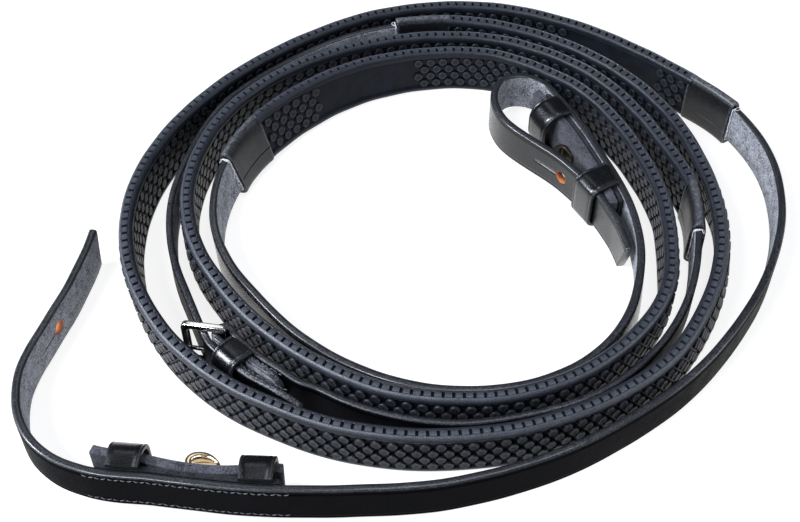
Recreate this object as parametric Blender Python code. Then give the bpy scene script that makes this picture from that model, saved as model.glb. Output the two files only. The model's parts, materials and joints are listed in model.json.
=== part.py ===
"""Pair of rubber-grip bridle reins, buckled together and coiled standing on edge.

Metres, +Z up, floor at z = 0. The right rein is the outer turn and carries the punched point;
the left rein is the inner turn and carries the buckle. Both wind counter-clockwise and inwards
round one coil centre, so each rein is one route: stations of angle and radius round the coil,
and hand-placed points where it leaves the coil.
"""

import math

import bmesh
import bpy
import numpy as np
from mathutils import Matrix, Vector

MM = 0.001

# Sections of the pieces, height by thickness (mm)
STRAP_HIGH = 16.0
BIT_THICK = 3.0
HAND_THICK = 2.6
LINING_THICK = 1.7
STUD_STRAP_THICK = 2.1
GRIP_HIGH = 20.0
GRIP_THICK = 5.2
GRIP_FACE_THICK = 4.0
GRIP_BEAD_HIGH = 2.8
CAVITY = (16.6, 2.0)
CORE = (15.6, 1.1)
WRAP = (21.0, 6.0)
WRAP_CAVITY = (16.7, 3.6)
WRAP_LONG = 21.5
STRAP_TUCK = 9.5
CORE_TUCK = 10.5
GAP = 0.3

# Colour, roughness and metallic value of each kind of piece
LEATHER = ((0.02, 0.019, 0.022), 0.42, 0.0)
FLESH_SIDE = ((0.07, 0.068, 0.075), 0.8, 0.0)
RUBBER = ((0.035, 0.035, 0.038), 0.6, 0.0)
WEBBING = ((0.05, 0.05, 0.05), 0.9, 0.0)
BRASS = ((0.8, 0.68, 0.45), 0.25, 1.0)
STEEL = ((0.75, 0.75, 0.74), 0.2, 1.0)

COIL_CENTRE = (8.0, 7.5)
# Moves the finished coil so that the middle of its footprint is the origin
TO_ORIGIN = (0.63, 0.28, 0.01)

# Right rein, bit end first: points from the tip to where the coil begins (x, y, middle height)
RIGHT_BILLET = [
    (-116.6, -7.6, 8.1), (-118, -17.5, 8.1), (-120, -26.5, 8.1), (-122, -35, 8.2), (-125, -44, 8.3),
    (-127.5, -52.5, 8.5), (-130, -60.7, 8.8), (-131.4, -69, 9.1), (-131, -77.2, 9.4), (-128.8, -86, 9.7),
    (-123.3, -95.6, 9.9), (-116, -101.9, 9.95), (-106, -106.3, 9.95), (-84, -109.5, 9.95),
    (-54, -113.1, 9.95), (-23, -113, 9.2), (4, -110.5, 8.3),
]
# Right rein round the coil: angle, radius of the top edge, outward lean of the top, middle height
RIGHT_COIL = [
    (-75, 112.5, 0, 8.1), (-60, 110, 0, 8.05), (-45, 110.5, 0, 8.05), (-30, 112.5, 0, 8.05),
    (-15, 117, 0, 8.1), (0, 121.8, 0, 8.5), (10, 122.8, 0, 9.7), (20, 120.5, 0, 10.55), (34, 113, 0, 10.55),
    (45, 109.7, 0, 10.05), (60, 107.2, 0, 10.05), (75, 106, 0, 10.05), (90, 104, 0, 10.05),
    (105, 102, 0, 10.05), (120, 100, 0, 10.05), (135, 100.5, 0, 10.05), (150, 103.5, 1, 10.05),
    (165, 108, 4, 10.15), (180, 112.5, 6, 10.25), (195, 114.2, 5, 10.2), (210, 113.2, 3, 10.1),
    (225, 110.5, 1, 10.05), (240, 106.7, 0, 10.05), (255, 104.5, 0, 10.05), (270, 102.5, 0, 10.05),
    (285, 102, 0, 10.05), (300, 102, 0, 10.05), (315, 102.5, -1, 10.05), (330, 100.5, -4, 10.15),
    (345, 99, -8, 10.3), (357, 97, -12, 10.4), (370, 95.5, -6, 10.25), (385, 95.5, 0, 10.05),
    (405, 95, 0, 10.05), (430, 95, 0, 10.05), (448, 95, 0, 10.55), (460, 94.5, 0, 10.55),
    (472, 95, 0, 9.4), (490, 95.5, 0, 8.2), (510, 97.5, 0, 8.05), (525, 97, 0, 8.05), (540, 98.5, 0, 8.1),
    (553, 98.8, 0, 8.4),
]
# Right rein from the coil through the buckle to the end of the point
RIGHT_POINT = [
    (-84.4, -27.4, 9.0), (-80.8, -36.3, 9.9), (-77.2, -45, 10.6), (-75.4, -49.3, 10.8),
    (-72.9, -54.7, 10.8), (-70.7, -59, 10.8), (-67.4, -62.7, 10.8), (-63.2, -66.5, 10.8),
    (-58.6, -70.6, 10.8), (-52.8, -74.6, 10.8), (-46.1, -78.5, 10.8), (-39.6, -81.6, 10.8),
]

# Left rein, buckle end first: turn-back, fold round the bar, then the main strap
HINGE = (-66.1, -55.3)
Z_BUCKLE = 10.8
FOLD_INSIDE = 1.6
FRONT = (-0.66, -0.75)
LEFT_TURN_BACK = [
    (-46, -74.1, 10.8), (-48.9, -71.9, 10.8), (-55.7, -67, 10.8), (-61.6, -62, 10.8), (-65.4, -59.6, 10.8),
]
LEFT_MAIN = [
    (-62.4, -56.1, 10.8), (-59.6, -59.1, 10.8), (-53.6, -64.6, 10.8), (-46.8, -69.6, 10.7),
    (-40.1, -74.4, 10.3),
]
LEFT_COIL = [
    (-117, 94, 0, 9.6), (-105, 95, 0, 8.8), (-90, 96, 0, 8.1), (-75, 96, 0, 8.05), (-60, 97, 0, 8.05),
    (-45, 96, 0, 8.1), (-30, 94, 0, 9.0), (-13, 91, 0, 10.55), (3, 89.7, 0, 10.55), (15, 86.5, 0, 10.05),
    (30, 85.5, 0, 10.05), (45, 86.5, 0, 10.05), (60, 86.5, 0, 10.05), (75, 86.5, 0, 10.05),
    (90, 85.5, 0, 10.05), (105, 85.5, 0, 10.05), (120, 86.5, 0, 10.05), (135, 89, 0, 10.05),
    (150, 91.5, 0, 10.05), (165, 92.5, 0, 10.05), (180, 92.5, 0, 10.05), (195, 90.5, 0, 10.05),
    (210, 87.5, 0, 10.05), (225, 86, 0, 10.05), (240, 86, 0, 10.05), (255, 87.5, 0, 10.05),
    (270, 88.5, 0, 10.05), (285, 89.5, 0, 10.05), (300, 89.5, 0, 10.05), (315, 88.5, 0, 10.05),
    (330, 86.5, 0, 10.05), (345, 81.5, 0, 10.05), (360, 78, -3, 10.15), (375, 75.5, -3, 10.15),
    (390, 75.5, -1, 10.1), (405, 76.7, 0, 10.05), (420, 76.8, 0, 10.05), (435, 77.5, 0, 10.05),
    (450, 76, 0, 10.05), (465, 75.5, 3, 10.15), (480, 76.2, 8, 10.3), (495, 77.5, 13, 10.4),
    (508, 79.6, 17, 10.95), (528, 82.4, 14, 10.9), (538, 83.4, 9, 9.5), (550, 83, 3, 8.4),
    (562, 80.8, 0, 8.05),
    (575, 78.5, 0, 8.05), (590, 78.7, 0, 8.05), (605, 80, 0, 8.05), (620, 82, 0, 8.05), (635, 83.7, 0, 8.05),
    (650, 84.9, 0, 8.05), (660, 84.7, -1, 8.05), (670, 83, -3, 8.1), (680, 80, -4, 8.3), (690, 76, -4, 8.7),
    (700, 72.3, -3, 9.3), (710, 68.6, -1, 9.9), (720, 65.5, 0, 9.95), (730, 63.1, 0, 9.95),
    (740, 62.1, 0, 9.95), (750, 62.9, 0, 9.95), (760, 65, 0, 9.95), (769, 68.2, 0, 9.95),
]
# Left rein's bit loop and free end, back along the inside of the strap to the square tip
LEFT_LOOP = [
    (48.5, 66, 9.95), (44.9, 69, 9.95), (40.8, 70.6, 9.95), (36.6, 70.6, 9.95), (33, 69.2, 9.95),
    (30.2, 66.1, 9.95), (28.6, 61.5, 9.95), (28.3, 57, 9.95), (29.2, 52.2, 9.95), (31.2, 47.3, 9.95),
    (34.4, 42.8, 9.95), (38, 39, 9.95), (41.6, 35.6, 9.95), (45.1, 32.3, 9.95), (48.6, 28.9, 9.95),
    (52, 25.3, 9.95), (55.2, 21.3, 9.95), (58.4, 16.8, 9.95), (61.6, 11.8, 9.95), (64.8, 5.6, 9.95),
    (67.2, 0, 9.9), (69.2, -5, 9.8), (70.5, -9.8, 9.6), (71.5, -14.6, 9.4), (72, -18, 9.3),
]

# Where the covered ends of the grips are, as angles round the coil
RIGHT_WRAPS = (21.5, 460.5)
LEFT_WRAPS = (-11.0, 528.0)

# Billets (mm): distances in from the main strap's middle, and how far the layers reach past the keepers
LINING_OFF = BIT_THICK / 2 + GAP + LINING_THICK / 2
STUD_OFF_MIDDLE = LINING_OFF + LINING_THICK / 2 + GAP + STUD_STRAP_THICK / 2
STUD_OFF_KEEPER = STUD_OFF_MIDDLE + 0.3
LINING_REACH = {"loop_end": 12.5, "rein_end": 11.0}
STUD_STRAP_REACH = {"loop_end": 12.0, "rein_end": 8.5}
HOOK_WIDE = 7.0
HOOK_THICK = 1.2
HOLE_RADIUS = 2.6
SLIT = (12, 8, 0.5)
SLIT_MIDDLE = 7.5
KEEPER_WIDE = 10.8
KEEPER_WALL = 1.6
KEEPER_DEEP = 13.2
KEEPER_HALF_INSIDE = 8.3
KEEPER_ROUND = 5.0
FREE_END_HELD = (61.2, 12.4)

# Buckle (mm): u runs from the hinge bar to the far bar, v towards the front
BUCKLE_TURN = 170.4
BUCKLE_REACH = 13.1
BUCKLE_BAR = 2.0
BUCKLE_THICK = 2.2
BUCKLE_HALF_HIGH = 10.55
BUCKLE_HALF_INSIDE = 8.3
TONGUE_WIRE = 0.8
TONGUE_RING = 2.2
TONGUE_LONG = 13.8


def clear_scene():
    for obj in list(bpy.data.objects):
        bpy.data.objects.remove(obj)


def material(name, look):
    color, rough, metal = look
    mat = bpy.data.materials.new(name)
    mat.use_nodes = True
    shader = mat.node_tree.nodes["Principled BSDF"]
    shader.inputs["Base Color"].default_value = (*color, 1)
    shader.inputs["Roughness"].default_value = rough
    shader.inputs["Metallic"].default_value = metal
    mat.diffuse_color = (*color, 1)
    return mat


def new_collection(name, hidden=False):
    collection = bpy.data.collections.new(name)
    bpy.context.scene.collection.children.link(collection)
    collection.hide_render = hidden
    return collection


def through(knots, values, at):
    """A smooth curve through the values: cubic pieces, with slopes taken from both neighbours."""
    knots = np.asarray(knots, float)
    values = np.asarray(values, float)
    gaps = np.diff(knots)
    slopes = np.diff(values, axis=0) / gaps[:, None]
    near = (gaps[1:] / (gaps[:-1] + gaps[1:]))[:, None]
    tangents = np.concatenate(
        [slopes[:1], slopes[:-1] * near + slopes[1:] * (1 - near), slopes[-1:]]
    )
    index = np.clip(np.searchsorted(knots, at, side="right") - 1, 0, len(knots) - 2)
    gap = gaps[index][:, None]
    u = ((at - knots[index]) / gaps[index])[:, None]
    return (
        values[index] * (1 + 2 * u) * (1 - u) ** 2
        + tangents[index] * gap * u * (1 - u) ** 2
        + values[index + 1] * u * u * (3 - 2 * u)
        + tangents[index + 1] * gap * u * u * (u - 1)
    )


def coil_points(stations, step=5.0):
    """Rows of x, y, middle height, lean and angle round the coil, close enough for a smooth route."""
    stations = np.asarray(stations, float)
    count = int((stations[-1, 0] - stations[0, 0]) / step) + 1
    angles = np.linspace(stations[0, 0], stations[-1, 0], count)
    radius, lean, height = through(stations[:, 0], stations[:, 1:], angles).T
    lean = np.radians(lean)
    radius = radius - GRIP_HIGH / 2 * np.sin(lean)
    turn = np.radians(angles)
    x = COIL_CENTRE[0] + radius * np.cos(turn)
    y = COIL_CENTRE[1] + radius * np.sin(turn)
    return np.stack([x, y, height, lean, angles], axis=1)


def free_points(points, angle):
    """The same rows for hand-placed points, which stand upright and all carry one angle."""
    return np.array([(x, y, z, 0, angle) for x, y, z in points], float)


def arc_points(centre, radius, start, end, height, count):
    turns = np.radians(np.linspace(start, end, count))
    return [(centre[0] + radius * math.cos(t), centre[1] + radius * math.sin(t), height) for t in turns]


class Route:
    """A rein's middle line, read by distance along it."""

    def __init__(self, *sections):
        rows = np.concatenate(sections)
        chord = np.concatenate([[0], np.cumsum(np.linalg.norm(np.diff(rows[:, :3], axis=0), axis=1))])
        fine = np.linspace(0, chord[-1], int(chord[-1] / 0.4))
        self.rows = through(chord, rows, fine)
        steps = np.linalg.norm(np.diff(self.rows[:, :3], axis=0), axis=1)
        self.at = np.concatenate([[0], np.cumsum(steps)])
        self.long = self.at[-1]

    def distance_at(self, angle):
        return float(np.interp(angle, self.rows[:, 4], self.at))

    def nearest(self, x, y, after=0.0, before=1e9):
        inside = (self.at >= after) & (self.at <= before)
        away = np.hypot(self.rows[:, 0] - x, self.rows[:, 1] - y)
        return float(self.at[np.argmin(np.where(inside, away, 1e9))])

    def read(self, distances):
        return np.stack([np.interp(distances, self.at, self.rows[:, k]) for k in range(4)], axis=1)

    def frame(self, distance):
        """Point, direction of travel and inward normal, both level."""
        a, point, b = self.read([distance - 1, distance, distance + 1])
        along = (b - a)[:2] / np.linalg.norm((b - a)[:2])
        return point, along, np.array([-along[1], along[0]])

    def stretch(self, start, end, step, inward=0.0):
        """Rows from start to end; inward is a distance, or a function of the distance along."""
        count = max(2, int(round(abs(end - start) / step)) + 1)
        distances = np.linspace(start, end, count)
        rows = self.read(distances)
        for row, distance in zip(rows, distances):
            move = inward(distance) if callable(inward) else inward
            if move:
                row[:2] += move * self.frame(distance)[2]
        return rows


def box_section(high, thick, chamfer):
    h, t, c = high / 2, thick / 2, chamfer
    return [
        (t, h - c), (t, -h + c), (t - c, -h), (-t + c, -h),
        (-t, -h + c), (-t, h - c), (-t + c, h), (t - c, h),
    ]


def plain_section(high, thick):
    h, t = high / 2, thick / 2
    return [(t, h), (t, -h), (-t, -h), (-t, h)]


def grip_section():
    """Rubber with a proud bead along each edge and a lower face between, where the studs stand."""
    h, t, f = GRIP_HIGH / 2, GRIP_THICK / 2, GRIP_FACE_THICK / 2
    low = h - GRIP_BEAD_HIGH
    side = [(t - 0.9, h), (t, h - 0.9), (t, low + 0.6), (f, low)]
    down = side + [(x, -z) for x, z in reversed(side)]
    return down + [(-x, -z) for x, z in down]


def link(obj, collection, look=None):
    """Puts the object in its collection, with a material of its own where it has a look."""
    collection.objects.link(obj)
    if look:
        obj.data.materials.clear()
        obj.data.materials.append(material(obj.name + "_finish", look))
    return obj


def solid_from(curve_object, name):
    """The curve's own mesh as a new object, with the caps joined to the sides."""
    bpy.context.view_layer.update()
    graph = bpy.context.evaluated_depsgraph_get()
    mesh = bpy.data.meshes.new_from_object(curve_object.evaluated_get(graph))
    mesh.transform(curve_object.matrix_world)
    bpy.data.objects.remove(curve_object)
    mesh.name = name
    work = bmesh.new()
    work.from_mesh(mesh)
    bmesh.ops.remove_doubles(work, verts=work.verts, dist=1e-6)
    bmesh.ops.recalc_face_normals(work, faces=work.faces)
    work.to_mesh(mesh)
    work.free()
    return bpy.data.objects.new(name, mesh)


def poly_spline(curve, points, cyclic):
    spline = curve.splines.new("POLY")
    spline.points.add(len(points) - 1)
    for target, point in zip(spline.points, points):
        target.co = (*(MM * c for c in point), 1)
    spline.use_cyclic_u = cyclic
    return spline


def sweep(name, rows, section, collection, look=None):
    """A strap: the section carried along the rows, upright apart from the lean."""
    shape = bpy.data.curves.new(name + "_section", "CURVE")
    shape.dimensions = "2D"
    shape.fill_mode = "NONE"
    poly_spline(shape, [(x, z, 0) for x, z in section], True)
    shape_object = bpy.data.objects.new(name + "_section", shape)
    guides.objects.link(shape_object)
    curve = bpy.data.curves.new(name, "CURVE")
    curve.dimensions = "3D"
    curve.twist_mode = "Z_UP"
    curve.bevel_mode = "OBJECT"
    curve.bevel_object = shape_object
    curve.use_fill_caps = True
    spline = poly_spline(curve, rows[:, :3], False)
    for target, row in zip(spline.points, rows):
        target.tilt = row[3]
    curve_object = bpy.data.objects.new(name, curve)
    guides.objects.link(curve_object)
    solid = solid_from(curve_object, name)
    bpy.data.objects.remove(shape_object)
    return link(solid, collection, look)


def wire(name, points, radius, sides, collection, look):
    """A round wire along the points, with flat ends."""
    circle = [
        (radius * math.cos(math.tau * k / sides), radius * math.sin(math.tau * k / sides))
        for k in range(sides)
    ]
    rows = np.array([(*p, 0) for p in points], float)
    return sweep(name, rows, circle[::-1], collection, look)


def plate(name, outlines, thick, placed, collection, look=None, edge=0.0):
    """Closed outlines filled and given thickness, with edge as the rounding of their rims."""
    curve = bpy.data.curves.new(name, "CURVE")
    curve.dimensions = "2D"
    curve.fill_mode = "BOTH"
    curve.extrude = MM * (thick / 2 - edge)
    curve.bevel_depth = MM * edge
    curve.bevel_resolution = 1
    curve.offset = -MM * edge
    for outline in outlines:
        poly_spline(curve, [(x, y, 0) for x, y in outline], True)
    curve_object = bpy.data.objects.new(name, curve)
    guides.objects.link(curve_object)
    curve_object.matrix_world = placed
    return link(solid_from(curve_object, name), collection, look)


def placed_at(origin, x_axis, y_axis):
    """Matrix that puts local x and y on these directions, with the origin in millimetres."""
    x = Vector((*x_axis, 0)) if len(x_axis) == 2 else Vector(x_axis)
    y = Vector((*y_axis, 0)) if len(y_axis) == 2 else Vector(y_axis)
    z = x.cross(y)
    return Matrix.Translation(MM * Vector(origin)) @ Matrix((x, y, z)).transposed().to_4x4()


def cut(obj, cutter, operation="DIFFERENCE"):
    modifier = obj.modifiers.new("cut", "BOOLEAN")
    modifier.operation = operation
    modifier.solver = "EXACT"
    modifier.object = cutter
    return obj


def block(name, centre, x_axis, sizes):
    """A cutting block: sizes along x_axis, across it on the level, and up."""
    long, wide, high = sizes
    corners = [(-long / 2, -wide / 2), (long / 2, -wide / 2), (long / 2, wide / 2), (-long / 2, wide / 2)]
    across = (-x_axis[1], x_axis[0])
    return plate(name, [corners], high, placed_at(centre, x_axis, across), cutters)


def tube(name, rows, outer, inner, ends, collection, look):
    """A sleeve: the outer section less the inner one, which runs past both ends."""
    body = sweep(name, rows, outer, collection, look)
    first = rows[0] - (rows[1] - rows[0]) * ends / np.linalg.norm(rows[1][:3] - rows[0][:3])
    last = rows[-1] + (rows[-1] - rows[-2]) * ends / np.linalg.norm(rows[-1][:3] - rows[-2][:3])
    hollow = sweep(name + "_hollow", np.vstack([first, rows, last]), inner, cutters)
    return cut(body, hollow)


def corner(centre, radius, start, end, count=5):
    turns = np.radians(np.linspace(start, end, count))
    return [(centre[0] + radius * math.cos(t), centre[1] + radius * math.sin(t)) for t in turns]


def keeper(name, point, along, outward, start, deep, strap, wide=KEEPER_WIDE, bend=KEEPER_ROUND):
    """A leather loop open towards its strap: two legs over and under, and a rounded arch."""
    half = KEEPER_HALF_INSIDE + KEEPER_WALL
    inside = bend - KEEPER_WALL
    pivot = deep - bend
    outline = [(start, -half)]
    outline += corner((pivot, -half + bend), bend, -90, 0)
    outline += corner((pivot, half - bend), bend, 0, 90)
    outline += [(start, half), (start, half - KEEPER_WALL)]
    outline += corner((pivot, KEEPER_HALF_INSIDE - inside), inside, 90, 0)
    outline += corner((pivot, -KEEPER_HALF_INSIDE + inside), inside, 0, -90)
    outline += [(start, -half + KEEPER_WALL)]
    body = plate(name, [outline], wide, placed_at(point, outward, (0, 0, 1)), nodes, LEATHER)
    if strap is not None:
        thick = sweep(name + "_clearance", strap, plain_section(40, BIT_THICK + 2 * GAP), cutters)
        cut(body, thick)
    return body


def stud_strap_offset(first, second):
    """Distance in from the main strap: lifted at both keepers and bowed down between them."""
    middle, half = (first + second) / 2, abs(second - first) / 2

    def offset(distance):
        near = min(1.0, abs(distance - middle) / half)
        return STUD_OFF_MIDDLE + (STUD_OFF_KEEPER - STUD_OFF_MIDDLE) * near * near

    return offset


def hook_stud(name, point, towards, inward):
    """A flat strip bent into a hook: its foot lies on the stud strap and its tip curls back over."""
    path = [
        (4.6, 0.95), (-0.6, 0.95), (-1.7, 1.4), (-2.1, 2.5), (-1.7, 3.8), (-0.4, 4.9), (1.4, 5.3),
        (3.4, 5.2), (5.2, 4.5), (6.6, 3.4), (7.3, 2.5),
    ]
    rows = [
        (*(point[:2] + a * towards + n * inward), point[2], 0)
        for a, n in path
    ]
    return sweep(name, np.array(rows), box_section(HOOK_WIDE, HOOK_THICK, 0.3), nodes, BRASS)


def billet(side, route, keepers, stud_at, towards):
    """Lining, stud strap and hook stud inside a bit strap; keepers are (name, distance) along the route."""
    (first_name, first), (last_name, last) = keepers
    ends = (first - LINING_REACH[first_name], last + LINING_REACH[last_name])
    sweep(f"{side}_billet_lining", route.stretch(*ends, 5, LINING_OFF),
          box_section(STRAP_HIGH, LINING_THICK, 0.4), nodes, LEATHER)
    offset = stud_strap_offset(first, last)
    ends = (first - STUD_STRAP_REACH[first_name], last + STUD_STRAP_REACH[last_name])
    sweep(f"{side}_stud_strap", route.stretch(*ends, 4, offset),
          box_section(STRAP_HIGH, STUD_STRAP_THICK, 0.4), nodes, FLESH_SIDE)
    point, along, inward = route.frame(stud_at)
    foot = point.copy()
    foot[:2] += (offset(stud_at) + STUD_STRAP_THICK / 2) * inward
    hook_stud(f"{side}_hook_stud", foot, towards * along, inward)


def rein_routes():
    right = Route(
        free_points(RIGHT_BILLET, -95.0),
        coil_points(RIGHT_COIL),
        free_points(RIGHT_POINT, 554.0),
    )
    bar_side = math.degrees(math.atan2(FRONT[1], FRONT[0]))
    fold = arc_points(HINGE, FOLD_INSIDE + HAND_THICK / 2, bar_side, bar_side - 180, Z_BUCKLE, 9)
    left = Route(
        free_points(LEFT_TURN_BACK + fold + LEFT_MAIN, -118.0),
        coil_points(LEFT_COIL),
        free_points(LEFT_LOOP, 770.0),
    )
    return right, left


def grip(side, route, first, last, first_name, last_name):
    """Rubber sleeve on its core between two leather wraps; first and last are along the route."""
    inner = first + WRAP_LONG
    outer = last - WRAP_LONG
    tube(f"{side}_grip_rubber", route.stretch(inner + 2 * GAP, outer - 2 * GAP, 8.5), grip_section(),
         plain_section(*CAVITY), 3, nodes, RUBBER)
    sweep(f"{side}_grip_core", route.stretch(first + CORE_TUCK, last - CORE_TUCK, 8.5),
          plain_section(*CORE), nodes, WEBBING)
    for name, start, end in ((first_name, first, inner), (last_name, outer, last)):
        tube(f"{side}_wrap_{name}", route.stretch(start, end, 3.6), box_section(*WRAP, 1.3),
             plain_section(*WRAP_CAVITY), 3, nodes, LEATHER)


def slit_hole(strap, name, route, distance, towards):
    """The hook hole and the slit that runs from it, through the strap."""
    point, along, _ = route.frame(distance)
    turns = np.radians(np.arange(0, 360, 30))
    ring = [(HOLE_RADIUS * math.cos(t), HOLE_RADIUS * math.sin(t)) for t in turns]
    hole = plate(name + "_hole", [ring], 8, placed_at(point, along, (0, 0, 1)), cutters)
    cut(strap, hole)
    middle = point.copy()
    middle[:2] += towards * SLIT_MIDDLE * along
    slot = block(name + "_slit", middle, along, SLIT)
    cut(strap, slot)


def build():
    right, left = rein_routes()
    right_first, right_last = (right.distance_at(angle) for angle in RIGHT_WRAPS)
    left_first, left_last = (left.distance_at(angle) for angle in LEFT_WRAPS)
    grip("right", right, right_first, right_last, "bit_end", "hand_end")
    grip("left", left, left_first, left_last, "hand_end", "bit_end")

    bit = box_section(STRAP_HIGH, BIT_THICK, 0.5)
    hand = box_section(STRAP_HIGH, HAND_THICK, 0.5)
    right_bit = sweep("right_bit_strap", right.stretch(0, right_first + STRAP_TUCK, 6.5), bit, nodes, LEATHER)
    right_hand = sweep("right_hand_strap", right.stretch(right_last - STRAP_TUCK, right.long, 5), hand,
                       nodes, LEATHER)
    left_bit = sweep("left_bit_strap", left.stretch(left_last - STRAP_TUCK, left.long, 5), bit,
                     nodes, LEATHER)
    fold_end = left.nearest(*LEFT_MAIN[1][:2], after=25)
    rows = np.vstack([
        left.stretch(0, fold_end, 1.1),
        left.stretch(fold_end + 5, left_first + STRAP_TUCK, 6.5),
    ])
    left_hand = sweep("left_hand_strap", rows, hand, nodes, LEATHER)

    slit_hole(right_bit, "right", right, right.nearest(-125.3, -45, before=120), 1)
    slit_hole(left_bit, "left", left, left.nearest(53.2, 24.2, after=left.long - 80), -1)

    right_keepers = (
        ("loop_end", right.nearest(-93, -108.3, before=220)),
        ("rein_end", right.nearest(-51.8, -113.2, before=220)),
    )
    left_keepers = (("rein_end", left.distance_at(724)), ("loop_end", left.distance_at(764)))
    billet("right", right, right_keepers, right.nearest(-73, -110.5, before=220), 1)
    billet("left", left, left_keepers, left.distance_at(750.5), -1)
    for side, route, stations in (("right", right, right_keepers), ("left", left, left_keepers)):
        for name, station in stations:
            point, along, inward = route.frame(station)
            near = route.stretch(station - 16, station + 16, 4)
            start, deep, bend = GAP, KEEPER_DEEP, KEEPER_ROUND
            if (side, name) == ("left", "rein_end"):
                # This one holds the strap's free end, which draws the arch round to its own direction.
                point, along, inward = left.frame(left.nearest(*FREE_END_HELD, after=left.long - 60))
                inward = -inward
                start, deep, bend = -9.5, BIT_THICK / 2 + 0.5 + KEEPER_WALL, 3.0
            keeper(f"{side}_keeper_{name}", point, along, inward, start, deep, near, bend=bend)
    buckle(left, left_hand, right_hand)


def hang_on_hinge(obj):
    """Moves the object's origin to the middle of the hinge bar, leaving its shape where it is."""
    pivot = MM * Vector((*HINGE, Z_BUCKLE))
    obj.data.transform(Matrix.Translation(-pivot))
    obj.location = pivot


def buckle(left, left_hand, right_hand):
    turn = math.radians(BUCKLE_TURN)
    reach = np.array([math.cos(turn), math.sin(turn)])
    front = np.array([-math.sin(turn), math.cos(turn)])
    hinge = (*HINGE, Z_BUCKLE)
    bar = BUCKLE_BAR / 2
    placed = placed_at(hinge, reach, (0, 0, 1))
    high, low = BUCKLE_HALF_HIGH, BUCKLE_HALF_INSIDE
    far = BUCKLE_REACH + bar + 0.3
    outer = [(-bar, high - 0.6), (-bar, -high + 0.6), (-bar + 0.6, -high), (far - 1.2, -high),
             (far, -high + 1.2), (far, high - 1.2), (far - 1.2, high), (-bar + 0.6, high)]
    inner = [(bar, low), (far - 2.3, low), (far - 2.3, -low), (bar, -low)]
    frame = plate("buckle_frame", [outer, inner], BUCKLE_THICK, placed, nodes, STEEL, edge=0.55)
    hang_on_hinge(frame)

    ring = [
        (TONGUE_RING * math.cos(t), TONGUE_RING * math.sin(t))
        for t in np.radians(np.arange(-5, -271, -26.5))
    ]
    line = ring + [(2, 2.2), (5, 2.2), (9, 2.2), (TONGUE_LONG - 1, 2.2), (TONGUE_LONG, 2.25)]
    points = [(*(np.array(HINGE) + u * reach + v * front), Z_BUCKLE) for u, v in line]
    tongue = wire("buckle_tongue", points, TONGUE_WIRE, 8, nodes, STEEL)
    hang_on_hinge(tongue)

    strap_way = np.array([-FRONT[1], FRONT[0]])
    slot_centre = (*(np.array(HINGE) - 1.5 * strap_way), Z_BUCKLE)
    slot = block("fold_slot", slot_centre, tuple(strap_way), (12, 12, 2.8))
    cut(left_hand, slot)

    crossing = np.array(HINGE) + 6.4 * reach + 2.2 * front
    hole = block("point_hole", (*crossing, Z_BUCKLE), tuple(reach), (8.5, 5.2, 3.0))
    cut(right_hand, hole)

    station = left.nearest(-58.2, -60.4, after=30)
    point, along, inward = left.frame(station)
    keeper("buckle_keeper", point, along, -inward, HAND_THICK / 2 + GAP, 11.6, None, wide=10.0, bend=3.2)


clear_scene()
nodes = new_collection("coiled_rubber_reins")
cutters = new_collection("cutters", hidden=True)
guides = new_collection("guides", hidden=True)
build()
for helper in cutters.objects:
    helper.hide_render = True
    helper.display_type = "WIRE"
for obj in nodes.objects:
    obj.data.shade_smooth()
    obj.data.set_sharp_from_angle(angle=math.radians(35))
for obj in [*nodes.objects, *cutters.objects]:
    obj.location += MM * Vector(TO_ORIGIN)
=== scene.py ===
"""Finished look of a pair of rubber-grip bridle reins, buckled together and coiled standing on edge.

Every strap follows one of two routes, which are the CAD model's own. A piece is written as rings of points
in strap coordinates: distance along the route, distance inwards from its middle, and height above its
middle, all in millimetres. Route.place turns those into metres in the frame.
"""

import json
import math
import random

import bmesh
import bpy
import numpy as np
from mathutils import Matrix, Vector

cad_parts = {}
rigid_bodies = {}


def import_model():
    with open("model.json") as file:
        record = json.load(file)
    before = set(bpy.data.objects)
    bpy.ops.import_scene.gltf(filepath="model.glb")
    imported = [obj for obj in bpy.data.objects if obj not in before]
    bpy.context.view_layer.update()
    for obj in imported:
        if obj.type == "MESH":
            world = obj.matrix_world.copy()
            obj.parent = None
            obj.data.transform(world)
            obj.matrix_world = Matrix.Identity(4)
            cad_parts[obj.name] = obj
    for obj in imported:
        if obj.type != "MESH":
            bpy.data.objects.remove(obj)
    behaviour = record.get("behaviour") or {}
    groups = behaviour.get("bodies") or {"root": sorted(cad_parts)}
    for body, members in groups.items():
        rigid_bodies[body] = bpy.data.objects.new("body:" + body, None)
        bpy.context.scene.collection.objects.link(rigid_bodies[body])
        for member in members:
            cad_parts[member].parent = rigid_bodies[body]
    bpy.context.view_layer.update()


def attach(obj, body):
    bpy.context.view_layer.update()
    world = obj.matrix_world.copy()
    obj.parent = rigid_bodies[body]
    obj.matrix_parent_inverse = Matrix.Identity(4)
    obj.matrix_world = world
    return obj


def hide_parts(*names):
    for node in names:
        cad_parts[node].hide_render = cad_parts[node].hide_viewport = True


MM = 0.001
CAMERA_AT = (-0.00737, -0.32080, 0.37193)
CAMERA_TILT = 40.0
CAMERA_LENS = 60.3
FLOOR_HALF = 4.0
COOL_LIGHT = (0.86, 0.92, 1.0)

# Sections, height by thickness (mm)
STRAP_HIGH = 16.0
BIT_THICK = 3.0
HAND_THICK = 2.6
LINING_THICK = 1.7
STUD_STRAP_THICK = 3.2
GRIP_HIGH = 20.0
GRIP_THICK = 5.2
GRIP_FACE = 1.8
WRAP = (21.0, 6.0)
WRAP_LONG = 21.5
STRAP_TUCK = 9.5
GAP = 0.3

# Moulded pattern of the rubber
RIB_PITCH = 3.35
NOTCH_DEEP = 0.9
NOTCH_HALF = 0.95
STUD_PITCH = 5.0
STUD_ROWS = (5.25, 1.75, -1.75, -5.25)
STUD_RADIUS = 1.78
STUD_PROUD = 1.2
INNER_STUD_SHARE = 0.72

Z_BUCKLE = 10.8

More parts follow.
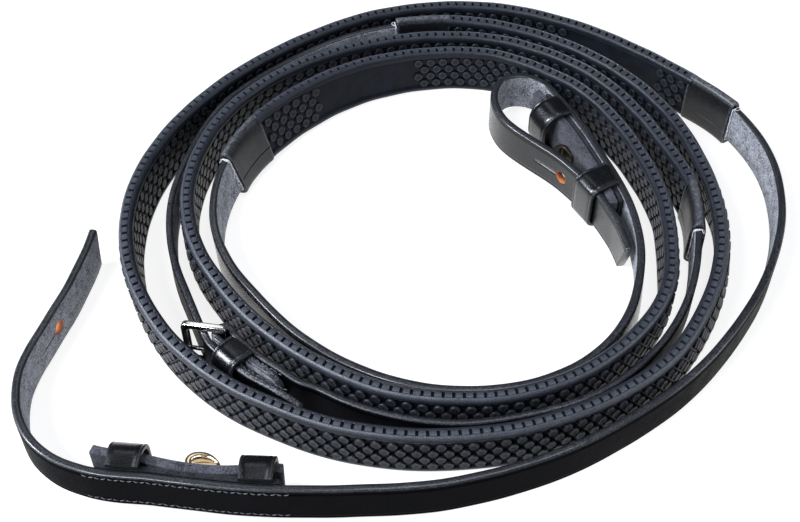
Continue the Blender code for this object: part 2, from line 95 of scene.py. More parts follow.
COIL_CENTRE = (8.0, 7.5)
# Moves the finished coil so that the middle of its footprint is the origin
TO_ORIGIN = np.array((0.63, 0.28, 0.01))

# Middle heights of a grip on the floor and of a billet, which its keepers lift
GRIP_MIDDLE = 10.05
BILLET_MIDDLE = 9.95

# Right rein, bit end first: points from the tip to where the coil begins (x, y, and the middle height
# where it isn't the billet's)
RIGHT_BILLET = [
    (-116.6, -7.6, 8.1), (-118, -17.5, 8.1), (-120, -26.5, 8.1), (-122, -35, 8.2), (-125, -44, 8.3),
    (-127.5, -52.5, 8.5), (-130, -60.7, 8.8), (-131.4, -69, 9.1), (-131, -77.2, 9.4), (-128.8, -86, 9.7),
    (-123.3, -95.6, 9.9), (-116, -101.9), (-106, -106.3), (-84, -109.5), (-54, -113.1), (-23, -113, 9.2),
    (4, -110.5, 8.3),
]
# Right rein round the coil: angle and radius of the top edge, the middle height where it isn't a grip's,
# and the outward lean of the top where there is any
RIGHT_COIL = [
    (-75, 112.5, 8.1), (-60, 110, 8.05), (-45, 110.5, 8.05), (-30, 112.5, 8.05), (-15, 117, 8.1),
    (0, 121.8, 8.5), (10, 122.8, 9.7), (20, 120.5, 10.55), (34, 113, 10.55), (45, 109.7), (60, 107.2),
    (75, 106), (90, 104), (105, 102), (120, 100), (135, 100.5), (150, 103.5, 10.05, 1),
    (165, 108, 10.15, 4), (180, 112.5, 10.25, 6), (195, 114.2, 10.2, 5), (210, 113.2, 10.1, 3),
    (225, 110.5, 10.05, 1), (240, 106.7), (255, 104.5), (270, 102.5), (285, 102), (300, 102),
    (315, 102.5, 10.05, -1), (330, 100.5, 10.15, -4), (345, 99, 10.3, -8), (357, 97, 10.4, -12),
    (370, 95.5, 10.25, -6), (385, 95.5), (405, 95), (430, 95), (448, 95, 10.55), (460, 94.5, 10.55),
    (472, 95, 9.4), (490, 95.5, 8.2), (510, 97.5, 8.05), (525, 97, 8.05), (540, 98.5, 8.1),
    (553, 98.8, 8.4),
]
# Right rein from the coil through the buckle to the end of the point
RIGHT_POINT = [
    (-84.4, -27.4, 9.0), (-80.8, -36.3, 9.9), (-77.2, -45, 10.6), (-75.4, -49.3, 10.8), (-72.9, -54.7, 10.8),
    (-70.7, -59, 10.8), (-67.4, -62.7, 10.8), (-63.2, -66.5, 10.8), (-58.6, -70.6, 10.8),
    (-52.8, -74.6, 10.8), (-46.1, -78.5, 10.8), (-39.6, -81.6, 10.8),
]

# Left rein, buckle end first: turn-back, fold round the bar, then the main strap
HINGE = (-66.1, -55.3)
FOLD_INSIDE = 1.6
FRONT = (-0.66, -0.75)
LEFT_TURN_BACK = [
    (-46, -74.1, 10.8), (-48.9, -71.9, 10.8), (-55.7, -67, 10.8), (-61.6, -62, 10.8), (-65.4, -59.6, 10.8),
]
LEFT_MAIN = [
    (-62.4, -56.1, 10.8), (-59.6, -59.1, 10.8), (-53.6, -64.6, 10.8), (-46.8, -69.6, 10.7),
    (-40.1, -74.4, 10.3),
]
LEFT_COIL = [
    (-117, 94, 9.6), (-105, 95, 8.8), (-90, 96, 8.1), (-75, 96, 8.05), (-60, 97, 8.05), (-45, 96, 8.1),
    (-30, 94, 9.0), (-13, 91, 10.55), (3, 89.7, 10.55), (15, 86.5), (30, 85.5), (45, 86.5), (60, 86.5),
    (75, 86.5), (90, 85.5), (105, 85.5), (120, 86.5), (135, 89), (150, 91.5), (165, 92.5), (180, 92.5),
    (195, 90.5), (210, 87.5), (225, 86), (240, 86), (255, 87.5), (270, 88.5), (285, 89.5), (300, 89.5),
    (315, 88.5), (330, 86.5), (345, 81.5), (360, 78, 10.15, -3), (375, 75.5, 10.15, -3),
    (390, 75.5, 10.1, -1), (405, 76.7), (420, 76.8), (435, 77.5), (450, 76), (465, 75.5, 10.15, 3),
    (480, 76.2, 10.3, 8), (495, 77.5, 10.4, 13), (508, 79.6, 10.95, 17), (528, 82.4, 10.9, 14),
    (538, 83.4, 9.5, 9), (550, 83, 8.4, 3), (562, 80.8, 8.05), (575, 78.5, 8.05), (590, 78.7, 8.05),
    (605, 80, 8.05), (620, 82, 8.05), (635, 83.7, 8.05), (650, 84.9, 8.05), (660, 84.7, 8.05, -1),
    (670, 83, 8.1, -3), (680, 80, 8.3, -4), (690, 76, 8.7, -4), (700, 72.3, 9.3, -3), (710, 68.6, 9.9, -1),
    (720, 65.5, 9.95), (730, 63.1, 9.95), (740, 62.1, 9.95), (750, 62.9, 9.95), (760, 65, 9.95),
    (769, 68.2, 9.95),
]
# Left rein's bit loop and free end, back along the inside of the strap to the square tip
LEFT_LOOP = [
    (48.5, 66), (44.9, 69), (40.8, 70.6), (36.6, 70.6), (33, 69.2), (30.2, 66.1), (28.6, 61.5), (28.3, 57),
    (29.2, 52.2), (31.2, 47.3), (34.4, 42.8), (38, 39), (41.6, 35.6), (45.1, 32.3), (48.6, 28.9), (52, 25.3),
    (55.2, 21.3), (58.4, 16.8), (61.6, 11.8), (64.8, 5.6), (67.2, 0, 9.9), (69.2, -5, 9.8),
    (70.5, -9.8, 9.6), (71.5, -14.6, 9.4), (72, -18, 9.3),
]

# Where the covered ends of the grips are, as angles round the coil
RIGHT_WRAPS = (21.5, 460.5)
LEFT_WRAPS = (-11.0, 528.0)

# Billets, keepers and the hook holes
LINING_OFF = BIT_THICK / 2 + GAP + LINING_THICK / 2
STUD_OFF_MIDDLE = LINING_OFF + LINING_THICK / 2 + GAP + STUD_STRAP_THICK / 2
LINING_REACH = {"loop_end": 9.5, "rein_end": 7.2}
STUD_STRAP_REACH = {"loop_end": 13.6, "rein_end": 7.8}
KEEPER_WIDE = 10.8
KEEPER_WALL = 1.6
KEEPER_DEEP = 13.2
KEEPER_HALF_INSIDE = 8.3
KEEPER_ROUND = 7.2
KEEPER_CROWN = 0.5
FREE_END_HELD = (61.2, 12.4)
HOLE_RADIUS = 2.6
SLIT_MIDDLE = 7.5
SLIT_HALF = 6.0
SLIT_OPEN = 0.27
STITCH_HEIGHT = 6.45
BILLET_LOW_STITCH = -5.6
STITCH_SLANT = 0.32
# How far the hook stud sits above the middle, how dark its colour is painted as shade and dark reflection,
# and how far the stud strap is lifted at its keepers and is lower than the bit strap
BILLET_LOOKS = {"right": (0.5, 0.0, 2.3, 1.8), "left": (-1.4, 0.9, 0.3, 0.0)}
# Places of the hook holes, hook studs and keepers: points near the strap, or angles round the coil
RIGHT_HOLE = (-125.3, -45)
LEFT_HOLE = (53.2, 24.2)
RIGHT_STUD = (-73, -110.5)
LEFT_STUD = 750.5
RIGHT_KEEPERS = {"loop_end": (-93, -108.3), "rein_end": (-51.8, -113.2)}
LEFT_KEEPERS = {"rein_end": 724, "loop_end": 764}
BUCKLE_KEEPER = (-58.2, -60.4)
# How far the bit straps' free ends are cut back at a slant
RIGHT_TIP_CUT = 3.2
LEFT_TIP_CUT = 5.0

# Along a strap: half the stretch with finer rings round a hole, and how far a slanted end's cut is felt
FINE_REACH = 16.0
CUT_FADES = 14.0

# Stretches of each grip's inner face that have no studs, as angles round the coil
BLANK_RIGHT = (38.0, 61.0)
BLANK_LEFT = (458.0, 490.0)

# Buckle: u runs from the hinge bar to the far bar, v towards the front
BUCKLE_TURN = 170.4
BUCKLE_REACH = 13.1
BUCKLE_BAR = 2.0
BUCKLE_THICK = 2.2
BUCKLE_HALF_HIGH = 10.55
BUCKLE_HALF_INSIDE = 8.3
BUCKLE_SOFT = 0.42
# Below this height the frame's colour is painted dark, as painted shade and the dark straps it reflects
BUCKLE_SHADE_TOP = 18.6
TONGUE_WIRE = 0.8
TONGUE_RING = 2.2
TONGUE_LONG = 13.8


# ---------------------------------------------------------------- routes


def through(knots, values, at):
    """A smooth curve through the values: cubic pieces, with slopes taken from both neighbours."""
    knots = np.asarray(knots, float)
    values = np.asarray(values, float)
    gaps = np.diff(knots)
    slopes = np.diff(values, axis=0) / gaps[:, None]
    near = (gaps[1:] / (gaps[:-1] + gaps[1:]))[:, None]
    tangents = np.concatenate([slopes[:1], slopes[:-1] * near + slopes[1:] * (1 - near), slopes[-1:]])
    index = np.clip(np.searchsorted(knots, at, side="right") - 1, 0, len(knots) - 2)
    gap = gaps[index][:, None]
    u = ((at - knots[index]) / gaps[index])[:, None]
    return (
        values[index] * (1 + 2 * u) * (1 - u) ** 2
        + tangents[index] * gap * u * (1 - u) ** 2
        + values[index + 1] * u * u * (3 - 2 * u)
        + tangents[index + 1] * gap * u * u * (u - 1)
    )


def coil_points(stations, step=5.0):
    """Rows of x, y, middle height, lean and angle round the coil, close enough for a smooth route."""
    stations = np.array([(*row, *(GRIP_MIDDLE, 0)[len(row) - 2:]) for row in stations], float)
    count = int((stations[-1, 0] - stations[0, 0]) / step) + 1
    angles = np.linspace(stations[0, 0], stations[-1, 0], count)
    radius, height, lean = through(stations[:, 0], stations[:, 1:], angles).T
    lean = np.radians(lean)
    radius = radius - GRIP_HIGH / 2 * np.sin(lean)
    turn = np.radians(angles)
    x = COIL_CENTRE[0] + radius * np.cos(turn)
    y = COIL_CENTRE[1] + radius * np.sin(turn)
    return np.stack([x, y, height, lean, angles], axis=1)


def free_points(points, angle):
    """The same rows for points off the coil, which stand upright and all carry one angle."""
    return np.array([(*(*point, BILLET_MIDDLE)[:3], 0, angle) for point in points], float)


def arc(centre, radius, start, end, count):
    turns = np.radians(np.linspace(start, end, count))
    return [(centre[0] + radius * math.cos(t), centre[1] + radius * math.sin(t)) for t in turns]


def in_metres(points):
    return MM * (points + TO_ORIGIN)


class Route:
    """A rein's middle line with its frame: along the rein, inwards, and up."""

    def __init__(self, *sections):
        rows = np.concatenate(sections)
        chord = np.concatenate([[0], np.cumsum(np.linalg.norm(np.diff(rows[:, :3], axis=0), axis=1))])
        fine = np.linspace(0, chord[-1], int(chord[-1] / 0.4))
        self.rows = through(chord, rows, fine)
        steps = np.linalg.norm(np.diff(self.rows[:, :3], axis=0), axis=1)
        self.at = np.concatenate([[0], np.cumsum(steps)])
        self.long = self.at[-1]
        along = np.gradient(self.rows[:, :3], axis=0)
        along /= np.linalg.norm(along, axis=1)[:, None]
        inward = np.stack([-along[:, 1], along[:, 0], 0 * along[:, 0]], axis=1)
        inward /= np.linalg.norm(inward, axis=1)[:, None]
        upward = np.cross(along, inward)
        lean = self.rows[:, 3][:, None]
        self.inward = np.cos(lean) * inward + np.sin(lean) * upward
        self.upward = np.cos(lean) * upward - np.sin(lean) * inward
        self.along = along

    def distance_at(self, angle):
        return float(np.interp(angle, self.rows[:, 4], self.at))

    def nearest(self, x, y, after=0.0, before=1e9):
        inside = (self.at >= after) & (self.at <= before)
        away = np.hypot(self.rows[:, 0] - x, self.rows[:, 1] - y)
        return float(self.at[np.argmin(np.where(inside, away, 1e9))])

    def read(self, table, s):
        s = np.asarray(s, float)
        return np.stack([np.interp(s, self.at, table[:, k]) for k in range(3)], axis=-1)

    def place(self, s, u, z):
        """Strap coordinates to points in metres."""
        u = np.asarray(u, float)[..., None]
        z = np.asarray(z, float)[..., None]
        past = np.asarray(s, float) - np.clip(s, 0, self.long)
        point = self.read(self.rows, s) + past[..., None] * self.read(self.along, s)
        point = point + u * self.read(self.inward, s) + z * self.read(self.upward, s)
        return in_metres(point)


def rein_routes():
    right = Route(free_points(RIGHT_BILLET, -95.0), coil_points(RIGHT_COIL), free_points(RIGHT_POINT, 554.0))
    bar_side = math.degrees(math.atan2(FRONT[1], FRONT[0]))
    fold = arc(HINGE, FOLD_INSIDE + HAND_THICK / 2, bar_side, bar_side - 180, 9)
    left = Route(
        free_points(LEFT_TURN_BACK + [(*point, Z_BUCKLE) for point in fold] + LEFT_MAIN, -118.0),
        coil_points(LEFT_COIL),
        free_points(LEFT_LOOP, 770.0),
    )
    return right, left


# ---------------------------------------------------------------- materials


class Shader:
    """A Principled material with short calls for the nodes that feed it."""

    def __init__(self, name, color, rough, **sockets):
        self.mat = bpy.data.materials.new(name)
        self.mat.use_nodes = True
        self.tree = self.mat.node_tree
        self.out = self.tree.nodes["Principled BSDF"]
        self.coords = self.tree.nodes.new("ShaderNodeTexCoord").outputs["Object"]
        self.out.inputs["Base Color"].default_value = (*color, 1)
        self.out.inputs["Roughness"].default_value = rough
        for socket, value in sockets.items():
            self.out.inputs[socket.replace("_", " ")].default_value = value

    def node(self, kind, inputs=None, **settings):
        node = self.tree.nodes.new(kind)
        for key, value in settings.items():
            setattr(node, key, value)
        for key, value in (inputs or {}).items():
            if isinstance(value, bpy.types.NodeSocket):
                self.tree.links.new(value, node.inputs[key])
            else:
                node.inputs[key].default_value = value
        return node

    def noise(self, scale, detail=3.0, rough=0.55):
        inputs = {"Vector": self.coords, "Scale": scale, "Detail": detail, "Roughness": rough}
        return self.node("ShaderNodeTexNoise", inputs).outputs["Fac"]

    def cells(self, scale):
        return self.node("ShaderNodeTexVoronoi", {"Vector": self.coords, "Scale": scale}).outputs["Distance"]

    def remap(self, value, low, high, to_low=0, to_high=1):
        inputs = {"Value": value, "From Min": low, "From Max": high, "To Min": to_low, "To Max": to_high}
        return self.node("ShaderNodeMapRange", inputs).outputs["Result"]

    def math(self, operation, a, b):
        return self.node("ShaderNodeMath", {0: a, 1: b}, operation=operation).outputs[0]

    def times(self, a, b):
        return self.math("MULTIPLY", a, b)

    def plus(self, a, b):
        return self.math("ADD", a, b)

    def mix(self, factor, a, b):
        """Two colours mixed; each is a socket or three numbers."""
        a, b = ((*color, 1.0) if isinstance(color, tuple) else color for color in (a, b))
        return self.node("ShaderNodeMix", {0: factor, 6: a, 7: b}, data_type="RGBA").outputs[2]

    # The attribute holds real wear on the leather and painted light elsewhere: painted highlight on the
    # rubber's edges and stud rims, painted shade in the notches and on the metal.
    def wear_and_painted_light(self):
        return self.node("ShaderNodeAttribute", attribute_name="wear_and_painted_light").outputs["Fac"]

    def feed(self, name, value):
        self.tree.links.new(value, self.out.inputs[name])

    def color(self, socket):
        self.feed("Base Color", socket)

    def rough(self, socket):
        self.feed("Roughness", socket)

    def bump(self, height, distance, strength):
        inputs = {"Height": height, "Distance": distance, "Strength": strength}
        self.feed("Normal", self.node("ShaderNodeBump", inputs).outputs["Normal"])


def grain_leather(name, rough=0.34, coat=0.01, wear_and_painted_light=0.10, shine=0.007):
    """Dyed black leather: pebbled grain, faint mottling, scuffs, and paler where the wear attribute says."""
    shader = Shader(name, (0.008, 0.008, 0.011), rough, Specular_IOR_Level=shine, Coat_Weight=coat,
                    Coat_Roughness=0.2)
    mottle = shader.noise(160, 4)
    worn = shader.times(shader.wear_and_painted_light(), shader.remap(shader.noise(900, 4), 0.35, 0.7, 0.2, 1))
    base = shader.mix(shader.remap(mottle, 0.35, 0.7), (0.0008, 0.0009, 0.0015), (0.003, 0.0033, 0.0052))
    shader.color(shader.mix(shader.times(worn, wear_and_painted_light), base, (0.42, 0.43, 0.48)))
    scuffs = shader.noise(2600, 2)
    shader.rough(shader.remap(shader.plus(mottle, scuffs), 0.7, 1.3, rough - 0.07, rough + 0.16))
    pebbles = shader.plus(shader.cells(3300), shader.times(shader.noise(1500, 4), 0.8))
    shader.bump(pebbles, 0.00010, 0.45)
    return shader.mat


def flesh_leather(name, dark, light):
    """The fuzzy inner side of the leather: speckled, with raised fibres."""
    shader = Shader(name, light, 0.92, Specular_IOR_Level=0.2, Sheen_Weight=0.08, Sheen_Roughness=0.45)
    fibres = shader.noise(1900, 5, 0.8)
    both = shader.plus(shader.times(fibres, 0.8), shader.times(shader.noise(300, 3), 0.2))
    shader.color(shader.mix(shader.remap(both, 0.41, 0.57), dark, light))
    shader.bump(shader.plus(fibres, shader.noise(5200, 2)), 0.00022, 0.9)
    return shader.mat


def edge_leather(name, coat=0.55, wear_and_painted_light=0.25):
    """Dyed and burnished cut edge, with streaks where the layers of hide show."""
    shader = Shader(name, (0.03, 0.03, 0.035), 0.42, Specular_IOR_Level=0.45, Coat_Weight=coat,
                    Coat_Roughness=0.16)
    fibres = shader.noise(1900, 5, 0.7)
    worn = shader.times(shader.wear_and_painted_light(), shader.remap(fibres, 0.48, 0.62, 0.06, 1))
    base = shader.mix(shader.remap(fibres, 0.38, 0.68), (0.002, 0.0022, 0.0035), (0.012, 0.013, 0.018))
    shader.color(shader.mix(shader.times(worn, wear_and_painted_light), base, (0.50, 0.52, 0.58)))
    shader.rough(shader.remap(fibres, 0.3, 0.7, 0.28, 0.52))
    shader.bump(fibres, 0.00014, 0.6)
    return shader.mat


def rubber(name):
    """Moulded rubber: nearly matte, bluish black, lighter where the attribute is high: partly dusty bloom,
    partly painted highlight on the edges and stud rims.
    """
    shader = Shader(name, (0.012, 0.013, 0.016), 0.5)
    proud = shader.wear_and_painted_light()
    fine = shader.noise(2800, 4, 0.65)
    broad = shader.noise(190, 3)
    base = shader.mix(shader.remap(broad, 0.35, 0.68), (0.0034, 0.0046, 0.0082), (0.0082, 0.0108, 0.018))
    # The lighter colour is dusty bloom and painted highlight; where the attribute is low, as in the notches,
    # the dark base stands for painted shade.
    bloom_and_highlight = shader.math("POWER", shader.times(proud, shader.remap(fine, 0.35, 0.7, 0.3, 1)), 1.6)
    shader.color(shader.mix(shader.times(bloom_and_highlight, 0.38), base, (0.30, 0.32, 0.385)))
    shader.feed("Specular IOR Level", shader.remap(proud, 0, 1, 0.06, 0.62))
    shader.rough(shader.remap(shader.plus(fine, broad), 0.7, 1.3, 0.28, 0.46))
    shader.bump(shader.plus(fine, shader.cells(5200)), 0.00007, 0.5)
    return shader.mat


def raw_leather(name):
    """Undyed leather inside a punched hole."""
    shader = Shader(name, (0.5, 0.16, 0.05), 0.7)
    fibres = shader.noise(2400, 5, 0.7)
    shader.color(shader.mix(shader.remap(fibres, 0.35, 0.68), (0.30, 0.075, 0.02), (0.72, 0.27, 0.10)))
    shader.bump(fibres, 0.0002, 0.8)
    return shader.mat


def pale_slit(name):
    """The scraped sides of a slit in polished leather."""
    shader = Shader(name, (0.3, 0.29, 0.29), 0.8)
    fibres = shader.noise(3000, 4, 0.7)
    shader.color(shader.mix(shader.remap(fibres, 0.35, 0.68), (0.16, 0.16, 0.18), (0.45, 0.44, 0.46)))
    return shader.mat


def thread(name, dark, light):
    """Waxed thread, twisted, with dirty and clean stretches."""
    shader = Shader(name, light, 0.6, Sheen_Weight=0.3)
    twist = shader.noise(3800, 3)
    shader.color(shader.mix(shader.remap(twist, 0.35, 0.65), dark, light))
    shader.bump(twist, 0.0001, 0.7)
    return shader.mat


def metal(name, light, tint, rough):
    """Plated metal with a fine polish, small scratches and slight tarnish; painted dark and rougher where the
    attribute says, as painted shade and dark reflection.
    """
    shader = Shader(name, light, rough, Metallic=1.0)
    clean = shader.mix(shader.remap(shader.noise(520, 4), 0.42, 0.75), light, tint)
    painted_shade = shader.wear_and_painted_light()
    # Painted shade: a near-black colour where the attribute is high.
    shader.color(shader.mix(painted_shade, clean, (0.008, 0.008, 0.010)))
    scratches = shader.noise(4200, 3, 0.6)
    shine = shader.remap(scratches, 0.3, 0.75, rough - 0.04, rough + 0.10)
    shader.rough(shader.plus(shine, shader.times(painted_shade, 0.3)))
    shader.bump(scratches, 0.00002, 0.2)
    return shader.mat


# ---------------------------------------------------------------- mesh work


def rounded(high, thick, corner, crease=None, steps=3):
    """Section of a strap, counter-clockwise in (u, z); its sides are told apart by side_of."""
    h, t = high / 2, thick / 2
    across = np.linspace(-h + 2.6, h - 2.6, max(2, int(high / 1.7)))
    points = []
    for cu, cz, start in ((t - corner, -h + corner, -90), (t - corner, h - corner, 0),
                          (-t + corner, h - corner, 90), (-t + corner, -h + corner, 180)):
        points += arc((cu, cz), corner, start, start + 90, steps + 1)
        if start == 90:
            points += groove(-t, h - crease) if crease else []
            points += [(-t, z) for z in across[::-1]]
            points += groove(-t, -h + crease) if crease else []
        if start == -90:
            points += [(t, z) for z in across]
    return np.array(points)


def groove(u, z):
    """A creased line pressed 0.16 mm into the grain face, going down the face."""
    return [(u, z + 0.3), (u + 0.16, z), (u, z - 0.3)]


def side_of(section, high, thick):
    """For each stretch of a section: 0 on the grain face, 1 on the flesh face, 2 on the edges."""
    middle = (section + np.roll(section, -1, axis=0)) / 2
    sides = np.full(len(section), 2)
    inner = np.abs(middle[:, 1]) < high / 2 - 0.35
    sides[inner & (middle[:, 0] < -thick / 2 + 0.25)] = 0
    sides[inner & (middle[:, 0] > thick / 2 - 0.25)] = 1
    return sides


def add_object(name, data):
    obj = bpy.data.objects.new(name, data)
    bpy.context.scene.collection.objects.link(obj)
    return obj


def evaluated_mesh(obj):
    bpy.context.view_layer.update()
    return bpy.data.meshes.new_from_object(obj.evaluated_get(bpy.context.evaluated_depsgraph_get()))


def mesh_object(name, points, faces, slots=None, wear_and_painted_light=None, angle=40):
    mesh = bpy.data.meshes.new(name)
    mesh.from_pydata(np.asarray(points).tolist(), [], faces)
    if slots is not None:
        mesh.polygons.foreach_set("material_index", np.asarray(slots, np.int32))
    set_wear_and_painted_light(mesh, np.zeros(len(points)) if wear_and_painted_light is None else wear_and_painted_light)
    shade(mesh, angle)
    mesh.update()
    return add_object(name, mesh)


def set_wear_and_painted_light(mesh, values):
    attribute = mesh.attributes.new("wear_and_painted_light", "FLOAT", "POINT")
    attribute.data.foreach_set("value", np.asarray(values, np.float32))


def shade(mesh, angle):
    mesh.shade_smooth()
    mesh.set_sharp_from_angle(angle=math.radians(angle))


def ring_faces(rows, count, base=0, capped=True, looped=False):
    """Faces of a tube of rings, each ring counter-clockwise seen against the way it runs."""
    faces = []
    for i in range(rows if looped else rows - 1):
        a = base + i * count
        b = base + ((i + 1) % rows) * count
        faces += [(a + j, a + (j + 1) % count, b + (j + 1) % count, b + j) for j in range(count)]
    if capped and not looped:
        faces.append(tuple(range(base + count - 1, base - 1, -1)))
        faces.append(tuple(range(base + (rows - 1) * count, base + rows * count)))
    return faces


def loft(name, points, sides=None, wear_and_painted_light=None, mats=(), looped=False, angle=40):
    """Rings of points (rows, count, 3) to one closed object."""
    rows, count = points.shape[:2]
    faces = ring_faces(rows, count, looped=looped)
    slots = None
    if sides is not None:
        bands = rows if looped else rows - 1
        slots = list(np.tile(sides, bands)) + ([] if looped else [2, 2])
    wear_and_painted_light = None if wear_and_painted_light is None else np.broadcast_to(wear_and_painted_light, (rows, count)).reshape(-1)
    obj = mesh_object(name, points.reshape(-1, 3), faces, slots, wear_and_painted_light, angle)
    for mat in mats:
        obj.data.materials.append(mat)
    return obj


def edge_wear(section, high):
    """1 along the arrises of a strap's section, falling to 0 a millimetre into the faces."""
    return np.clip(1 - (high / 2 - np.abs(section[:, 1])) / 1.2, 0, 1)


def wander(s, seed, size):
    """Slow, small waviness along a strap, from a few fixed waves."""
    rng = random.Random(seed)
    total = np.zeros_like(np.asarray(s, float))
    for wave in (17, 31, 53):
        total += math.sin(rng.uniform(0, 6)) * np.sin(np.asarray(s) * math.tau / wave + rng.uniform(0, 6))
    return size * total / 2


def strap(name, route, start, end, thick, mats, seed, high=STRAP_HIGH, inward=0.0, step=1.6, crease=1.4,
          corner=0.95, fine_near=None, cut_start=0.0, cut_end=0.0, point_end=0.0, point_start=0.0, worn=None):
    """A leather strap along a route. cut_* slopes an end; point_* narrows it to a rounded point."""
    section = rounded(high, thick, corner, crease)
    sides = side_of(section, high, thick)
    s = np.linspace(start, end, int((end - start) / step) + 1)
    if fine_near is not None:
        fine = np.linspace(fine_near - FINE_REACH, fine_near + FINE_REACH, 54)
        s = np.concatenate([s[np.abs(s - fine_near) > FINE_REACH], fine])
    ends = np.concatenate([start + np.array([0, 0.12, 0.4, 0.9]), end - np.array([0.9, 0.4, 0.12, 0])])
    s = np.sort(np.concatenate([s[(s > start + 1.4) & (s < end - 1.4)], ends]))
    u = np.tile(section[:, 0], (len(s), 1))
    z = np.tile(section[:, 1], (len(s), 1))
    nearest = np.minimum(s - start, end - s)
    trim = (1 - np.clip(nearest / 0.4, 0, 1)[:, None]) ** 2
    u *= 1 - 0.5 / thick * trim
    z *= 1 - 0.6 / high * trim
    for long, away in ((point_start, s - start), (point_end, end - s)):
        if long:
            near = np.clip(away / long, 0, 1)[:, None]
            z *= 0.3 + 0.7 * np.sqrt(near * (2 - near))
    full = np.tile(s[:, None], (1, len(section)))
    for cut_by, away in ((cut_start, s - start), (-cut_end, end - s)):
        fade = np.clip(1 - away / CUT_FADES, 0, 1)[:, None]
        full = full + cut_by * fade * (0.5 - z / high)
    offset = inward(s) if callable(inward) else np.full(len(s), inward)
    u = u + offset[:, None]
    z = z + wander(s, seed, 0.10)[:, None]
    points = route.place(full, u, z)
    share = 0.42 + 0.14 * np.sin(s / 9.0 + seed)
    if worn:
        share *= 0.35
        share = np.where((s >= worn[0]) & (s <= worn[1]), 0.62, share)
    outer = edge_wear(section, high) * np.where(section[:, 0] < 0, 1.0, 0.45)
    wear_and_painted_light = np.clip(outer * share[:, None], 0, 1)
    return loft(name, points, sides, wear_and_painted_light, mats)


def grip_outline():
    """Quarter of the rubber's section from the middle of its top edge to half way down the face."""
    t, h = GRIP_THICK / 2, GRIP_HIGH / 2
    return [(0.0, h), (0.85, h - 0.02), (1.03, h - 0.08), (1.15, h - 0.32), (1.3, h - 0.17), (1.7, h - 0.3),
            (2.1, h - 0.63), (2.4, h - 1.13), (2.56, h - 1.75), (t, h - 2.35), (t - 0.15, h - 2.8),
            (t - 0.5, h - 3.1), (GRIP_FACE, h - 3.3), (GRIP_FACE, 3.4), (GRIP_FACE, 0.0)]


def rib_rows(start, end):
    """Distances along the rubber with the rib's edges held sharp, and how far each is notched."""
    shares = np.array([0.0, 0.29, 0.33, 0.58, 0.62, 0.84])
    depths = np.array([0.0, 0.0, 1.0, 1.0, 0.0, 0.0])
    first = math.ceil(start / RIB_PITCH)
    last = math.floor(end / RIB_PITCH) - 1
    s = np.concatenate([(n + shares) * RIB_PITCH for n in range(first, last + 1)])
    notch = np.tile(depths, last - first + 1)
    return np.concatenate([[start], s, [end]]), np.concatenate([[0], notch, [0]])


def grip_rubber(name, route, start, end, mat, seed):
    quarter = grip_outline()
    half = quarter + [(u, -z) for u, z in reversed(quarter[:-1])]
    section = np.array(half + [(-u, -z) for u, z in half[1:-1]])[::-1]
    s, notch = rib_rows(start, end)
    u = np.tile(section[:, 0], (len(s), 1))
    z = np.tile(section[:, 1], (len(s), 1))
    off_middle, on_edge = np.abs(section[:, 0]), np.abs(section[:, 1]) > 9
    cutting = (off_middle < NOTCH_HALF) & on_edge
    shoulder = (off_middle > NOTCH_HALF) & (off_middle < NOTCH_HALF + 0.15) & on_edge
    z -= np.sign(z) * notch[:, None] * (NOTCH_DEEP * cutting + 0.30 * shoulder)
    z = z + wander(s, seed, 0.10)[:, None]
    u = u + wander(s, seed + 9, 0.08)[:, None]
    # Painted light: the top edges and the outer side get more of the lighter colour as painted highlight, and
    # the notch floors are painted dark as shade.
    wear_and_painted_light = np.interp(np.abs(section[:, 1]), [6.9, 8.2, 9.3], [0.12, 0.45, 1.0])
    wear_and_painted_light = wear_and_painted_light * np.interp(section[:, 0], [-2.0, 0.2, 1.6], [1.0, 0.85, 0.45])
    wear_and_painted_light = wear_and_painted_light * (1 - 0.85 * notch[:, None] * cutting)
    return loft(name, route.place(s[:, None], u, z), None, wear_and_painted_light, [mat])


def grip_studs(name, route, start, end, blank, mat):
    """Flat-domed studs in staggered rows on both faces, left off where the inner face is blank."""
    around = 10
    turns = np.arange(around) * math.tau / around
    # The third column of each ring is painted highlight: the stud's rim gets the lightest colour, its top
    # less.
    rings = np.array([
        (STUD_RADIUS, -0.3, 0.0), (STUD_RADIUS - 0.03, STUD_PROUD - 0.26, 0.25),
        (STUD_RADIUS - 0.24, STUD_PROUD, 0.5), (STUD_RADIUS - 0.62, STUD_PROUD - 0.02, 0.22),
    ])
    along = np.append(np.outer(rings[:, 0], np.cos(turns)), 0.0)
    up = np.append(np.outer(rings[:, 0], np.sin(turns)), 0.0)
    out = np.append(np.repeat(rings[:, 1], around), STUD_PROUD - 0.16)
    shine = np.append(np.repeat(rings[:, 2], around), 0.10)
    shape = ring_faces(len(rings), around, capped=False)
    shape.append(tuple(range(around - 1, -1, -1)))
    last = (len(rings) - 1) * around
    shape += [(last + k, last + (k + 1) % around, len(along) - 1) for k in range(around)]
    points, faces = [], []
    for face in (1, -1):
        for row, height in enumerate(STUD_ROWS):
            shift = STUD_PITCH / 2 * (row % 2)
            count = int((end - start - STUD_RADIUS * 2 - 1 - shift) / STUD_PITCH) + 1
            for k in range(count):
                s = start + STUD_RADIUS + 0.8 + shift + k * STUD_PITCH
                if face == 1 and blank[0] < s < blank[1]:
                    continue
                base = len(points) * len(along)
                proud = out if face == -1 else out * INNER_STUD_SHARE
                points.append(route.place(s - face * along, face * (GRIP_FACE + proud), height + up))
                faces += [tuple(base + v for v in f) for f in shape]
    points = np.concatenate(points)
    obj = mesh_object(name, points, faces, wear_and_painted_light=np.tile(shine, len(points) // len(shine)), angle=50)
    obj.data.materials.append(mat)
    return obj


